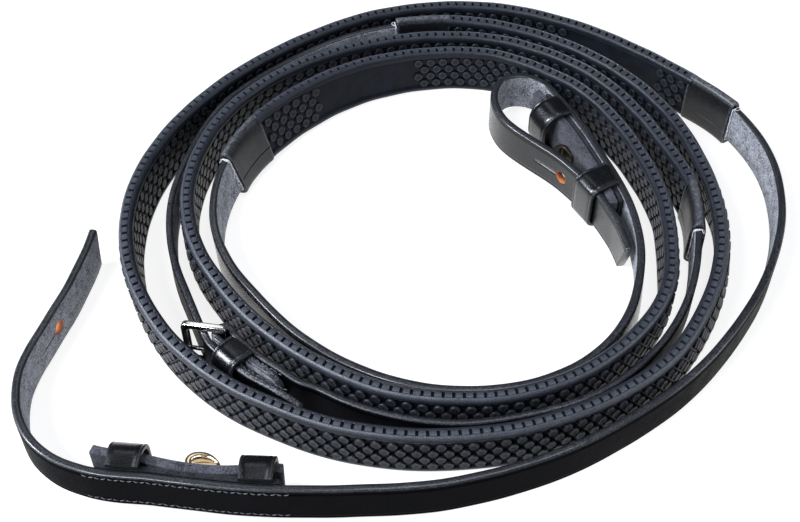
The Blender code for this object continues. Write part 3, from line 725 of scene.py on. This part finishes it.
def wrap(name, route, start, end, mat, seed):
    """A sewn leather sleeve: narrow pinched top with a ridge, flared ends, and a seam low on each face."""
    high, thick = WRAP
    t, h = thick / 2, high / 2
    side = [(0.0, h), (0.5, h - 0.02), (1.0, h - 0.25), (1.5, h - 0.85), (2.1, h - 2.2), (2.6, h - 4.4),
            (2.8, h - 8), (2.85, 0.0), (2.9, -2.9), (2.9, -3.3), (2.62, -3.55), (2.9, -3.8), (2.9, -4.3),
            (t - 0.05, -h + 2.6), (t - 0.35, -h + 1.2), (1.9, -h + 0.4), (1.0, -h), (0.0, -h)]
    other = [(-u, z) for u, z in side[1:-1]]
    section = np.array([*side[::-1], *other])
    shares = np.array([0, 0.02, 0.05, 0.12, 0.22, 0.35, 0.5, 0.65, 0.78, 0.88, 0.95, 0.98, 1.0])
    s = start + (end - start) * shares
    flare = 1 + 0.05 * (np.abs(shares - 0.5) * 2) ** 3 - 0.02
    flare[[0, -1]] -= 0.055
    u = section[:, 0] * flare[:, None]
    u = u + 0.12 * np.sin(s * 0.9 + seed)[:, None] * np.exp(-((section[:, 1] - 2) / 5) ** 2)
    z = section[:, 1] * (1 + (flare[:, None] - 1) * 0.45)
    rings = [route.place(s[:, None], u, z)]
    inside = section * (0.62, 0.84)
    for share in (0.985, 0.9, 0.1, 0.015):
        rings.append(route.place(np.full((1, 1), start + (end - start) * share), *inside.T))
    points = np.concatenate(rings)
    top = np.clip((section[:, 1] - h + 1.6) / 1.6, 0, 1)
    wear_and_painted_light = np.tile(0.05 + 0.8 * top, (len(points), 1))
    wear_and_painted_light[[0, 1, len(s) - 2, len(s) - 1]] += 0.35
    return loft(name, points, None, np.clip(wear_and_painted_light, 0, 1), [mat], looped=True)


def frayed_thread(name, route, at, out_of, mat, seed):
    """Loose ends of white thread where the strap leaves its sleeve."""
    rng = random.Random(seed)
    curve = bpy.data.curves.new(name, "CURVE")
    curve.dimensions = "3D"
    curve.bevel_depth = 0.15 * MM
    curve.bevel_resolution = 1
    curve.use_fill_caps = True
    half = BIT_THICK / 2 + 0.28
    corners = [(half, -7.6), (half, 7.6), (half - 0.6, 8.25), (0.6 - half, 8.25)]
    outline = np.array([*corners, *((-u, -z) for u, z in corners), corners[0]])
    around = np.concatenate([[0], np.cumsum(np.linalg.norm(np.diff(outline, axis=0), axis=1))])
    runs = [(0.0, around[-1], 0.35)] * 2
    runs += [(begin, begin + rng.uniform(1.5, 5.0), rng.choice((0.6, 0.9, 1.6))) for begin in
             [rng.uniform(0, around[-1] - 5) for _ in range(14)]]
    for begin, end, loose in runs:
        count = max(6, int((end - begin) / 0.7))
        spline = curve.splines.new("POLY")
        spline.points.add(count - 1)
        for n, target in enumerate(spline.points):
            share = n / (count - 1)
            p = begin + (end - begin) * share
            lift = loose * (math.sin(share * math.pi) if loose > 0.4 else 0.6)
            s = at + out_of * (0.12 + lift + rng.uniform(0, 0.22))
            target.co = (*route.place(s, np.interp(p, around, outline[:, 0]) * rng.uniform(0.98, 1.06),
                                      np.interp(p, around, outline[:, 1])), 1)
            target.radius = rng.uniform(0.75, 1.35)
    curve.materials.append(mat)
    return add_object(name, curve)


def stitches(name, route, start, end, surface, heights, mat, seed, pitch=2.0):
    """Rows of slanted stitches sunk in the face at `surface` from the route's middle."""
    rng = random.Random(seed)
    around, rings = 6, 5
    turns = np.arange(around) * math.tau / around
    share = np.linspace(0, 1, rings)
    girth = 0.18 * np.sqrt(np.clip(np.sin(share * math.pi), 0.06, 1))
    points, faces = [], []
    face = 1 if surface > 0 else -1
    for height in heights:
        for k in range(int((end - start) / pitch)):
            s0 = start + pitch * k + rng.uniform(-0.1, 0.1)
            tilt = STITCH_SLANT * (1 if k % 2 else -1) + rng.uniform(-0.08, 0.08)
            s = s0 + (share - 0.5)[:, None] * pitch * 0.86
            z = height + tilt * (share - 0.5)[:, None] * 2 + girth[:, None] * np.cos(turns)
            bow = 0.16 * np.sin(share * math.pi)[:, None] - 0.06
            u = surface + face * (bow + girth[:, None] * np.sin(turns))
            base = len(points) * rings * around
            points.append(route.place(s, u, z).reshape(-1, 3))
            shape = ring_faces(rings, around, base)
            faces += shape if face < 0 else [f[::-1] for f in shape]
    obj = mesh_object(name, np.concatenate(points), faces, angle=60)
    obj.data.materials.append(mat)
    return obj


def keeper(name, point, outward, start, deep, mats, seed, wide=KEEPER_WIDE, bend=KEEPER_ROUND, meets=None):
    """A leather loop: two legs over and under the strap and a rounded arch, creased along both edges."""
    half = KEEPER_HALF_INSIDE + KEEPER_WALL / 2
    turn = bend - KEEPER_WALL / 2
    pivot = deep - bend
    path = [(a, -half, 0.0, -1.0) for a in np.linspace(start, pivot, 5)[:-1]]
    for centre, first in ((-half + turn, -90), (half - turn, 0)):
        for t in np.radians(np.linspace(first, first + 90, 8)):
            path.append((pivot + turn * math.cos(t), centre + turn * math.sin(t), math.cos(t), math.sin(t)))
    path += [(a, half, 0.0, 1.0) for a in np.linspace(pivot, start, 5)[1:]]
    a, z, out_a, out_z = np.array(path).T[:, :, None]
    section = rounded(wide, KEEPER_WALL, 0.45, 1.0)
    u, w = section.T
    share = np.linspace(0, 1, len(path))[:, None]
    w = w * (1 + 0.03 * np.cos(share * 9 + seed)) + 0.22 * np.sin(share * 5 + seed)
    leg = np.clip((a - max(start, 1.7)) / (deep - max(start, 1.7)), 0, 1)
    z = z + KEEPER_CROWN * np.sign(z) * np.sin(leg * math.pi) * np.abs(out_z)
    reach = a - out_a * u
    axis = np.array([outward[0], outward[1], 0.0])
    across = np.array([outward[1], -outward[0], 0.0])
    points = point + reach[..., None] * axis + w[..., None] * across
    points[..., 2] += z - out_z * u
    if meets:
        # The legs end on the inner face of the strap they are sewn to.
        route, near = meets
        s = np.linspace(near - 22, near + 22, 90)
        middle, inward = route.read(route.rows, s), route.read(route.inward, s)
        for ring in (*range(4), *range(len(path) - 4, len(path))):
            for vertex in points[ring]:
                k = np.argmin(np.hypot(*(middle[:, :2] - vertex[:2]).T))
                short = 1.6 - (vertex[:2] - middle[k, :2]) @ inward[k, :2]
                if short > 0:
                    vertex[:2] += axis[:2] * short / (axis[:2] @ inward[k, :2])
    sides = side_of(section, wide, KEEPER_WALL)
    wear_and_painted_light = np.tile(0.35 * edge_wear(section, wide), (len(path), 1))
    return loft(name, in_metres(points), sides, wear_and_painted_light, mats)


def level_path(line, along, across):
    """A path of (along, across) points in the floor's plane, and the direction to its left at each."""
    level = line[:, :1] * along + line[:, 1:] * across
    run = np.gradient(level, axis=0)
    run /= np.linalg.norm(run, axis=1)[:, None]
    return level, np.stack([-run[:, 1], run[:, 0]], axis=1)


def swept(name, start, level, side, across, up, wear_and_painted_light, mat):
    """A closed piece along a level path; `across` and `up` hold one ring's places for each of its points."""
    points = np.zeros((*across.shape, 3))
    points[..., :2] = (np.array(start[:2]) + level)[:, None, :] + side[:, None, :] * across[..., None]
    points[..., 2] = start[2] + up
    return loft(name, in_metres(points), None, wear_and_painted_light, [mat], angle=50)


def hook_stud(name, point, towards, inward, mat, painted_shade):
    """A cast hook: a broad foot on the stud strap that rises, curls over and thins to a rounded tip."""
    path = np.array([(4.6, 0.9), (2.0, 0.9), (-0.6, 0.95), (-1.7, 1.4), (-2.2, 2.5), (-1.9, 3.8), (-0.7, 4.9),
                     (1.0, 5.45), (3.2, 5.4), (5.2, 4.8), (6.8, 3.8), (7.8, 2.8)])
    knots = np.arange(len(path), dtype=float)
    at = np.linspace(0, len(path) - 1, 56)
    share = at / at[-1]
    thick = np.interp(share, [0, 0.04, 0.3, 0.5, 0.7, 0.92, 1.0], [0.6, 1.05, 2.2, 2.9, 2.5, 1.2, 0.4])
    width = np.interp(share, [0, 0.04, 0.3, 0.5, 0.75, 0.92, 1.0], [5.6, 6.6, 6.8, 6.4, 5.6, 3.8, 1.6])
    unit = rounded(2.0, 2.0, 0.42, steps=4)
    unit = np.array([p for p in unit if abs(p[0]) < 0.999 or abs(p[1]) < 0.3])
    level, side = level_path(through(knots, path, at), towards, inward)
    # The side that faces the strap, inside the curl, is painted dark as shade.
    inside = 2.4 * (towards + inward) - level
    facing = np.sign(np.sum(inside * side, axis=1))[:, None] * unit[:, 0]
    wear_and_painted_light = np.where(facing > 0.97, 0.85, painted_shade)
    return swept(name, point, level, side, unit[:, 0] * thick[:, None] / 2, unit[:, 1] * width[:, None] / 2,
                 wear_and_painted_light, mat)


def cut_through(obj, name, route, outline, mat):
    """Cuts an outline of (along, up) points, given from a distance along the route, through a strap."""
    ring = np.array(outline)
    rings = np.stack([route.place(ring[:, 0], np.full(len(ring), u), ring[:, 1]) for u in (-4.0, 4.0)])
    cutter = loft(name, rings, mats=[mat])
    modifier = obj.modifiers.new("cut", "BOOLEAN")
    modifier.operation = "DIFFERENCE"
    modifier.solver = "EXACT"
    modifier.material_mode = "TRANSFER"
    modifier.object = cutter
    mesh = evaluated_mesh(obj)
    obj.modifiers.clear()
    obj.data = mesh
    bpy.data.objects.remove(cutter)


def hook_hole(obj, route, distance, towards, raw, sides):
    """The round hole, and the slit beside it that lets the stud's head through."""
    turns = np.arange(32) * math.tau / 32
    ring = [(distance - HOLE_RADIUS * math.cos(t), HOLE_RADIUS * math.sin(t)) for t in turns]
    middle = distance + towards * SLIT_MIDDLE
    half = [(-SLIT_HALF, 0.0), (-2.0, -SLIT_OPEN), (2.0, -SLIT_OPEN)]
    slit = [(middle - a, b) for a, b in (*half, *((-a, -b) for a, b in half))]
    cut_through(obj, obj.name + "_slit_cutter", route, slit, sides)
    cut_through(obj, obj.name + "_hole_cutter", route, ring, raw)


def buckle_axes():
    turn = math.radians(BUCKLE_TURN)
    reach = np.array([math.cos(turn), math.sin(turn)])
    return reach, np.array([-reach[1], reach[0]])


def buckle_frame(mat):
    """Polished frame: a rounded plate with its window, softened on every edge."""
    reach, _ = buckle_axes()
    bar, high, low = BUCKLE_BAR / 2, BUCKLE_HALF_HIGH, BUCKLE_HALF_INSIDE
    far = BUCKLE_REACH + bar + 0.3

    def ring(left, right, tall, radii, way):
        points = []
        for (x, y, first), radius in zip(((right, -tall, -90), (right, tall, 0), (left, tall, 90),
                                          (left, -tall, 180)), radii):
            centre = (x - radius * (1 if x > left else -1), y - radius * (1 if y > 0 else -1))
            points += arc(centre, radius, first, first + 90, 7)
        return points[::way]

    curve = bpy.data.curves.new("buckle_frame_polished", "CURVE")
    curve.dimensions = "2D"
    curve.fill_mode = "BOTH"
    curve.extrude = MM * (BUCKLE_THICK / 2 - BUCKLE_SOFT)
    curve.bevel_depth = MM * BUCKLE_SOFT
    curve.bevel_resolution = 4
    curve.offset = -MM * BUCKLE_SOFT
    for outline in (ring(-bar, far, high, (2.2, 2.2, 1.0, 1.0), 1),
                    ring(bar, far - 2.3, low, (1.2, 1.2, 0.9, 0.9), -1)):
        spline = curve.splines.new("POLY")
        spline.points.add(len(outline) - 1)
        for target, (x, y) in zip(spline.points, outline):
            target.co = (MM * x, MM * y, 0, 1)
        spline.use_cyclic_u = True
    holder = add_object("buckle_frame_curve", curve)
    mesh = evaluated_mesh(holder)
    bpy.data.objects.remove(holder)
    x, y = Vector((*reach, 0)), Vector((0, 0, 1))
    place = Matrix((x, y, x.cross(y))).transposed().to_4x4()
    mesh.transform(Matrix.Translation(in_metres(np.array((*HINGE, Z_BUCKLE)))) @ place)
    mesh.materials.clear()
    mesh.materials.append(mat)
    work = bmesh.new()
    work.from_mesh(mesh)
    bmesh.ops.remove_doubles(work, verts=work.verts, dist=1e-6)
    bmesh.ops.recalc_face_normals(work, faces=work.faces)
    work.to_mesh(mesh)
    work.free()
    shade(mesh, 50)
    # Painted shade: the frame darkens over 1.5 mm below the set height, standing in for shade and the dark
    # straps it reflects.
    height = np.array([vertex.co.z for vertex in mesh.vertices]) / MM
    set_wear_and_painted_light(mesh, np.clip((BUCKLE_SHADE_TOP - height) / 1.5, 0, 1))
    return add_object("buckle_frame_polished", mesh)


def buckle_tongue(mat):
    """Wire tongue, wrapped round the hinge bar and thinned towards the tip that rests on the far bar."""
    reach, front = buckle_axes()
    ring = arc((0, 0), TONGUE_RING, -5, -270, 11)
    line = np.array(ring + [(2, 2.2), (5, 2.2), (9, 2.2), (TONGUE_LONG - 1, 2.2), (TONGUE_LONG, 2.25)])
    knots = np.concatenate([[0], np.cumsum(np.linalg.norm(np.diff(line, axis=0), axis=1))])
    at = np.linspace(0, knots[-1], 90)
    level, side = level_path(through(knots, line, at), reach, front)
    shares = np.interp(at, [0, 0.35, at[-1] - 5, at[-1] - 0.4, at[-1]], [0.7, 1, 1, 0.8, 0.4])
    radius = TONGUE_WIRE * shares[:, None]
    turns = np.arange(16) * math.tau / 16
    # The whole wire is painted dark at 0.75, as painted shade and dark reflection.
    return swept("buckle_tongue_wire", (*HINGE, Z_BUCKLE), level, side, np.cos(turns) * radius,
                 np.sin(turns) * radius, 0.75, mat)


# ---------------------------------------------------------------- assembly


def finish_piece(obj, slot, *nodes, body="reins"):
    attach(obj, body)
    if nodes:
        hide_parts(*nodes)


def offset_between(first, last, bow):
    """How far in the stud strap runs: lifted at both keepers and bowed down between them."""
    middle, half = (first + last) / 2, abs(last - first) / 2

    def offset(s):
        near = np.minimum(1.0, np.abs(np.asarray(s) - middle) / half)
        return STUD_OFF_MIDDLE + bow * near * near

    return offset


def build_billet(side, route, keepers, stud_at, towards, mats, seed):
    """Lining, stud strap and hook stud behind a bit strap, and the stitches that hold them."""
    stud_lift, painted_shade, bow, drop = BILLET_LOOKS[side]
    (first_name, first), (last_name, last) = keepers
    ends = (first - LINING_REACH[first_name], last + LINING_REACH[last_name])
    lining = strap(f"{side}_lining_leather", route, *ends, LINING_THICK, mats["lining"], seed,
                   inward=LINING_OFF, crease=None, corner=0.35, high=STRAP_HIGH - 1.0)
    finish_piece(lining, "flesh_leather", f"{side}_billet_lining")
    offset = offset_between(first, last, bow)
    ends = (first - STUD_STRAP_REACH[first_name], last + STUD_STRAP_REACH[last_name])
    stud_strap = strap(f"{side}_stud_strap_suede", route, *ends, STUD_STRAP_THICK, mats["suede"], seed + 1,
                       inward=offset, crease=None, corner=0.4, high=STRAP_HIGH - drop)
    finish_piece(stud_strap, "flesh_leather", f"{side}_stud_strap")
    inward = route.read(route.inward, stud_at)[:2]
    along = route.read(route.along, stud_at)[:2]
    along /= np.linalg.norm(along)
    foot = route.read(route.rows, stud_at)
    foot += np.array([*((float(offset(stud_at)) + STUD_STRAP_THICK / 2) * inward), stud_lift])
    stud = hook_stud(f"{side}_hook_stud_cast", foot, towards * along, inward, mats["brass"], painted_shade)
    finish_piece(stud, "hook_brass", f"{side}_hook_stud")
    rows = stitches(f"{side}_billet_stitches", route, first - 11.5, last + 12.5, -BIT_THICK / 2,
                    (STITCH_HEIGHT, BILLET_LOW_STITCH), mats["thread"], seed)
    finish_piece(rows, "black_leather")


def build_grip(side, route, first, last, names, blank, mats):
    """Studded rubber between two leather wraps, with thread ends where the straps come out of them."""
    start, end = first + WRAP_LONG, last - WRAP_LONG
    body = grip_rubber(f"{side}_grip_ribbed", route, start - 1.5, end + 1.5, mats["rubber"], len(side))
    finish_piece(body, "rubber", f"{side}_grip_rubber", f"{side}_grip_core")
    blank = [route.distance_at(angle) for angle in blank]
    studs = grip_studs(f"{side}_grip_studs", route, start, end, blank, mats["rubber"])
    finish_piece(studs, "rubber")
    for name, a, b, mouth, out_of in ((names[0], first, start, first, -1), (names[1], end, last, last, 1)):
        sleeve = wrap(f"{side}_sleeve_{name}", route, a, b, mats["wrap"], len(name))
        finish_piece(sleeve, "wrap_leather", f"{side}_wrap_{name}")
        loose = frayed_thread(f"{side}_frayed_thread_{name}", route, mouth, out_of, mats["white"], len(side))
        finish_piece(loose, "wrap_leather")


def build_reins(mats):
    right, left = rein_routes()
    right_first, right_last = (right.distance_at(angle) for angle in RIGHT_WRAPS)
    left_first, left_last = (left.distance_at(angle) for angle in LEFT_WRAPS)
    build_grip("right", right, right_first, right_last, ("bit_end", "hand_end"), BLANK_RIGHT, mats)
    build_grip("left", left, left_first, left_last, ("hand_end", "bit_end"), BLANK_LEFT, mats)

    right_hole = right.nearest(*RIGHT_HOLE, before=120)
    left_hole = left.nearest(*LEFT_HOLE, after=left.long - 80)
    right_bit = strap("right_bit_leather", right, 0, right_first + STRAP_TUCK, BIT_THICK, mats["leather"], 3,
                      fine_near=right_hole, cut_start=RIGHT_TIP_CUT)
    right_hand = strap("right_hand_leather", right, right_last - STRAP_TUCK, right.long, HAND_THICK,
                       mats["flecked"], 5, point_end=16, worn=(right.long - 24, right.long))
    left_bit = strap("left_bit_leather", left, left_last - STRAP_TUCK, left.long, BIT_THICK,
                     mats["polished"], 7, fine_near=left_hole, cut_end=LEFT_TIP_CUT)
    left_hand = strap("left_hand_leather", left, 0, left_first + STRAP_TUCK, HAND_THICK, mats["flecked"], 9,
                      step=1.1, point_start=8, worn=(0, 17))
    hook_hole(right_bit, right, right_hole, 1, mats["raw"], mats["keeper"][1])
    hook_hole(left_bit, left, left_hole, -1, mats["raw"], mats["pale"])
    for piece, node in ((right_bit, "right_bit_strap"), (right_hand, "right_hand_strap"),
                        (left_bit, "left_bit_strap"), (left_hand, "left_hand_strap")):
        finish_piece(piece, "black_leather", node)

    right_keepers = [(name, right.nearest(*point, before=220)) for name, point in RIGHT_KEEPERS.items()]
    left_keepers = [(name, left.distance_at(angle)) for name, angle in LEFT_KEEPERS.items()]
    build_billet("right", right, right_keepers, right.nearest(*RIGHT_STUD, before=220), 1, mats, 11)
    build_billet("left", left, left_keepers, left.distance_at(LEFT_STUD), -1, mats, 21)
    for side, route, stations in (("right", right, right_keepers), ("left", left, left_keepers)):
        for name, station in stations:
            at, start, deep, bend, meets = station, BIT_THICK / 2 + 0.2, KEEPER_DEEP, KEEPER_ROUND, None
            inward = route.read(route.inward, at)[:2]
            if (side, name) == ("left", "rein_end"):
                at = left.nearest(*FREE_END_HELD, after=left.long - 60)
                inward = -route.read(route.inward, at)[:2]
                start, deep, bend = -9.5, BIT_THICK / 2 + 0.5 + KEEPER_WALL, 4.4
                meets = (left, station)
            loop = keeper(f"{side}_keeper_leather_{name}", route.read(route.rows, at), inward, start, deep,
                          mats["keeper"], len(name) + len(side), bend=bend, meets=meets)
            finish_piece(loop, "keeper_leather", f"{side}_keeper_{name}")
    build_buckle(left, right, mats)


def build_buckle(left, right, mats):
    station = left.nearest(*BUCKLE_KEEPER, after=30)
    inward = left.read(left.inward, station)[:2]
    loop = keeper("buckle_keeper_leather", left.read(left.rows, station), -inward, HAND_THICK / 2 + GAP, 11.6,
                  mats["keeper"], 4, wide=10.0, bend=5.0)
    finish_piece(loop, "keeper_leather", "buckle_keeper")
    finish_piece(buckle_frame(mats["steel"]), "buckle_steel", "buckle_frame", body="buckle")
    finish_piece(buckle_tongue(mats["steel"]), "buckle_steel", "buckle_tongue", body="tongue")
    for name, route, start, end, surface in (
        ("turn_back_stitches", left, 2.0, 15.0, 1),
        ("turn_back_inner_stitches", left, 2.0, 15.0, -1),
        ("point_stitches", right, right.long - 26.0, right.long - 4.0, 1),
    ):
        rows = stitches(name, route, start, end, surface * HAND_THICK / 2,
                        (STITCH_HEIGHT + 0.9, -STITCH_HEIGHT), mats["thread"], 31, pitch=1.8)
        finish_piece(rows, "black_leather")


def build_materials():
    grain = grain_leather("strap_grain_leather")
    polished = grain_leather("polished_grain_leather", 0.20, 0.32, 0.10, 0.28)
    flesh = flesh_leather("strap_flesh_leather", (0.026, 0.027, 0.036), (0.46, 0.475, 0.53))
    edge = edge_leather("strap_edge_leather")
    flecked = edge_leather("flecked_edge_leather", 0.3, 0.8)
    raw = raw_leather("raw_tan_leather")
    pale = pale_slit("pale_slit_leather")
    dark_suede = flesh_leather("lining_suede", (0.004, 0.004, 0.006), (0.040, 0.040, 0.048))
    suede = flesh_leather("stud_strap_suede", (0.016, 0.016, 0.021), (0.13, 0.13, 0.155))
    keeper_grain = grain_leather("keeper_grain_leather", 0.22, 0.5, 0.35, 0.4)
    keeper_edge = edge_leather("keeper_edge_leather", 0.0, 0.1)
    return {
        "leather": [grain, flesh, edge, raw, keeper_edge],
        "polished": [polished, flesh, edge, raw, pale],
        "flecked": [grain, flesh, flecked],
        "lining": [grain, dark_suede, dark_suede],
        "suede": [suede, suede, suede],
        "keeper": [keeper_grain, keeper_edge, keeper_edge],
        "wrap": grain_leather("sleeve_leather", 0.36, 0.15, 0.4, 0.3),
        "rubber": rubber("moulded_rubber"),
        "thread": thread("waxed_thread", (0.02, 0.02, 0.024), (0.14, 0.145, 0.165)),
        "white": thread("frayed_white_thread", (0.45, 0.45, 0.47), (0.85, 0.85, 0.88)),
        "brass": metal("hook_stud_brass", (0.86, 0.74, 0.54), (0.72, 0.52, 0.33), 0.16),
        "steel": metal("buckle_polish", (0.84, 0.84, 0.82), (0.66, 0.65, 0.60), 0.12),
        "raw": raw,
        "pale": pale,
    }


def build_stage():
    mesh = bpy.data.meshes.new("studio_floor")
    corners = ((-1, -1), (1, -1), (1, 1), (-1, 1))
    mesh.from_pydata([(FLOOR_HALF * x, FLOOR_HALF * y, 0) for x, y in corners], [], [(0, 1, 2, 3)])
    floor = add_object("studio_floor", mesh)
    shader = Shader("studio_floor_white", (0.34, 0.33, 0.325), 0.7, Specular_IOR_Level=0.0,
                    Emission_Color=(1.0, 1.0, 1.0, 1), Emission_Strength=0.84)
    mesh.materials.append(shader.mat)
    world = bpy.data.worlds.new("studio")
    world.use_nodes = True
    world.node_tree.nodes["Background"].inputs["Color"].default_value = (0.82, 0.90, 1.0, 1)
    world.node_tree.nodes["Background"].inputs["Strength"].default_value = 0.08
    bpy.context.scene.world = world
    bpy.context.scene.view_settings.view_transform = "Standard"
    for name, at, size, power, color in (
        ("key_softbox", (-0.55, -0.52, 1.02), 0.30, 9.5, COOL_LIGHT),
        ("top_softbox", (0.20, 0.10, 1.3), 0.45, 3.5, COOL_LIGHT),
        ("left_softbox", (-0.95, -0.12, 0.66), 0.30, 15, COOL_LIGHT),
        ("back_softbox", (-0.24, 0.65, 0.98), 0.30, 0.45, (0.95, 0.97, 1.0)),
        ("right_softbox", (0.95, -0.1, 0.5), 0.3, 2.5, COOL_LIGHT),
    ):
        light = bpy.data.lights.new(name, "AREA")
        light.size = size
        light.energy = power
        light.color = color
        lamp = add_object(name, light)
        lamp.location = at
        lamp.rotation_euler = (-Vector(at)).to_track_quat("-Z", "Y").to_euler()


def build_camera():
    data = bpy.data.cameras.new("camera")
    data.lens = CAMERA_LENS
    data.sensor_width = 36.0
    camera = add_object("camera", data)
    camera.location = CAMERA_AT
    camera.rotation_euler = (math.radians(CAMERA_TILT), 0, 0)
    bpy.context.scene.camera = camera


def main():
    for obj in list(bpy.data.objects):
        bpy.data.objects.remove(obj)
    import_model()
    build_camera()
    build_reins(build_materials())
    build_stage()


main()
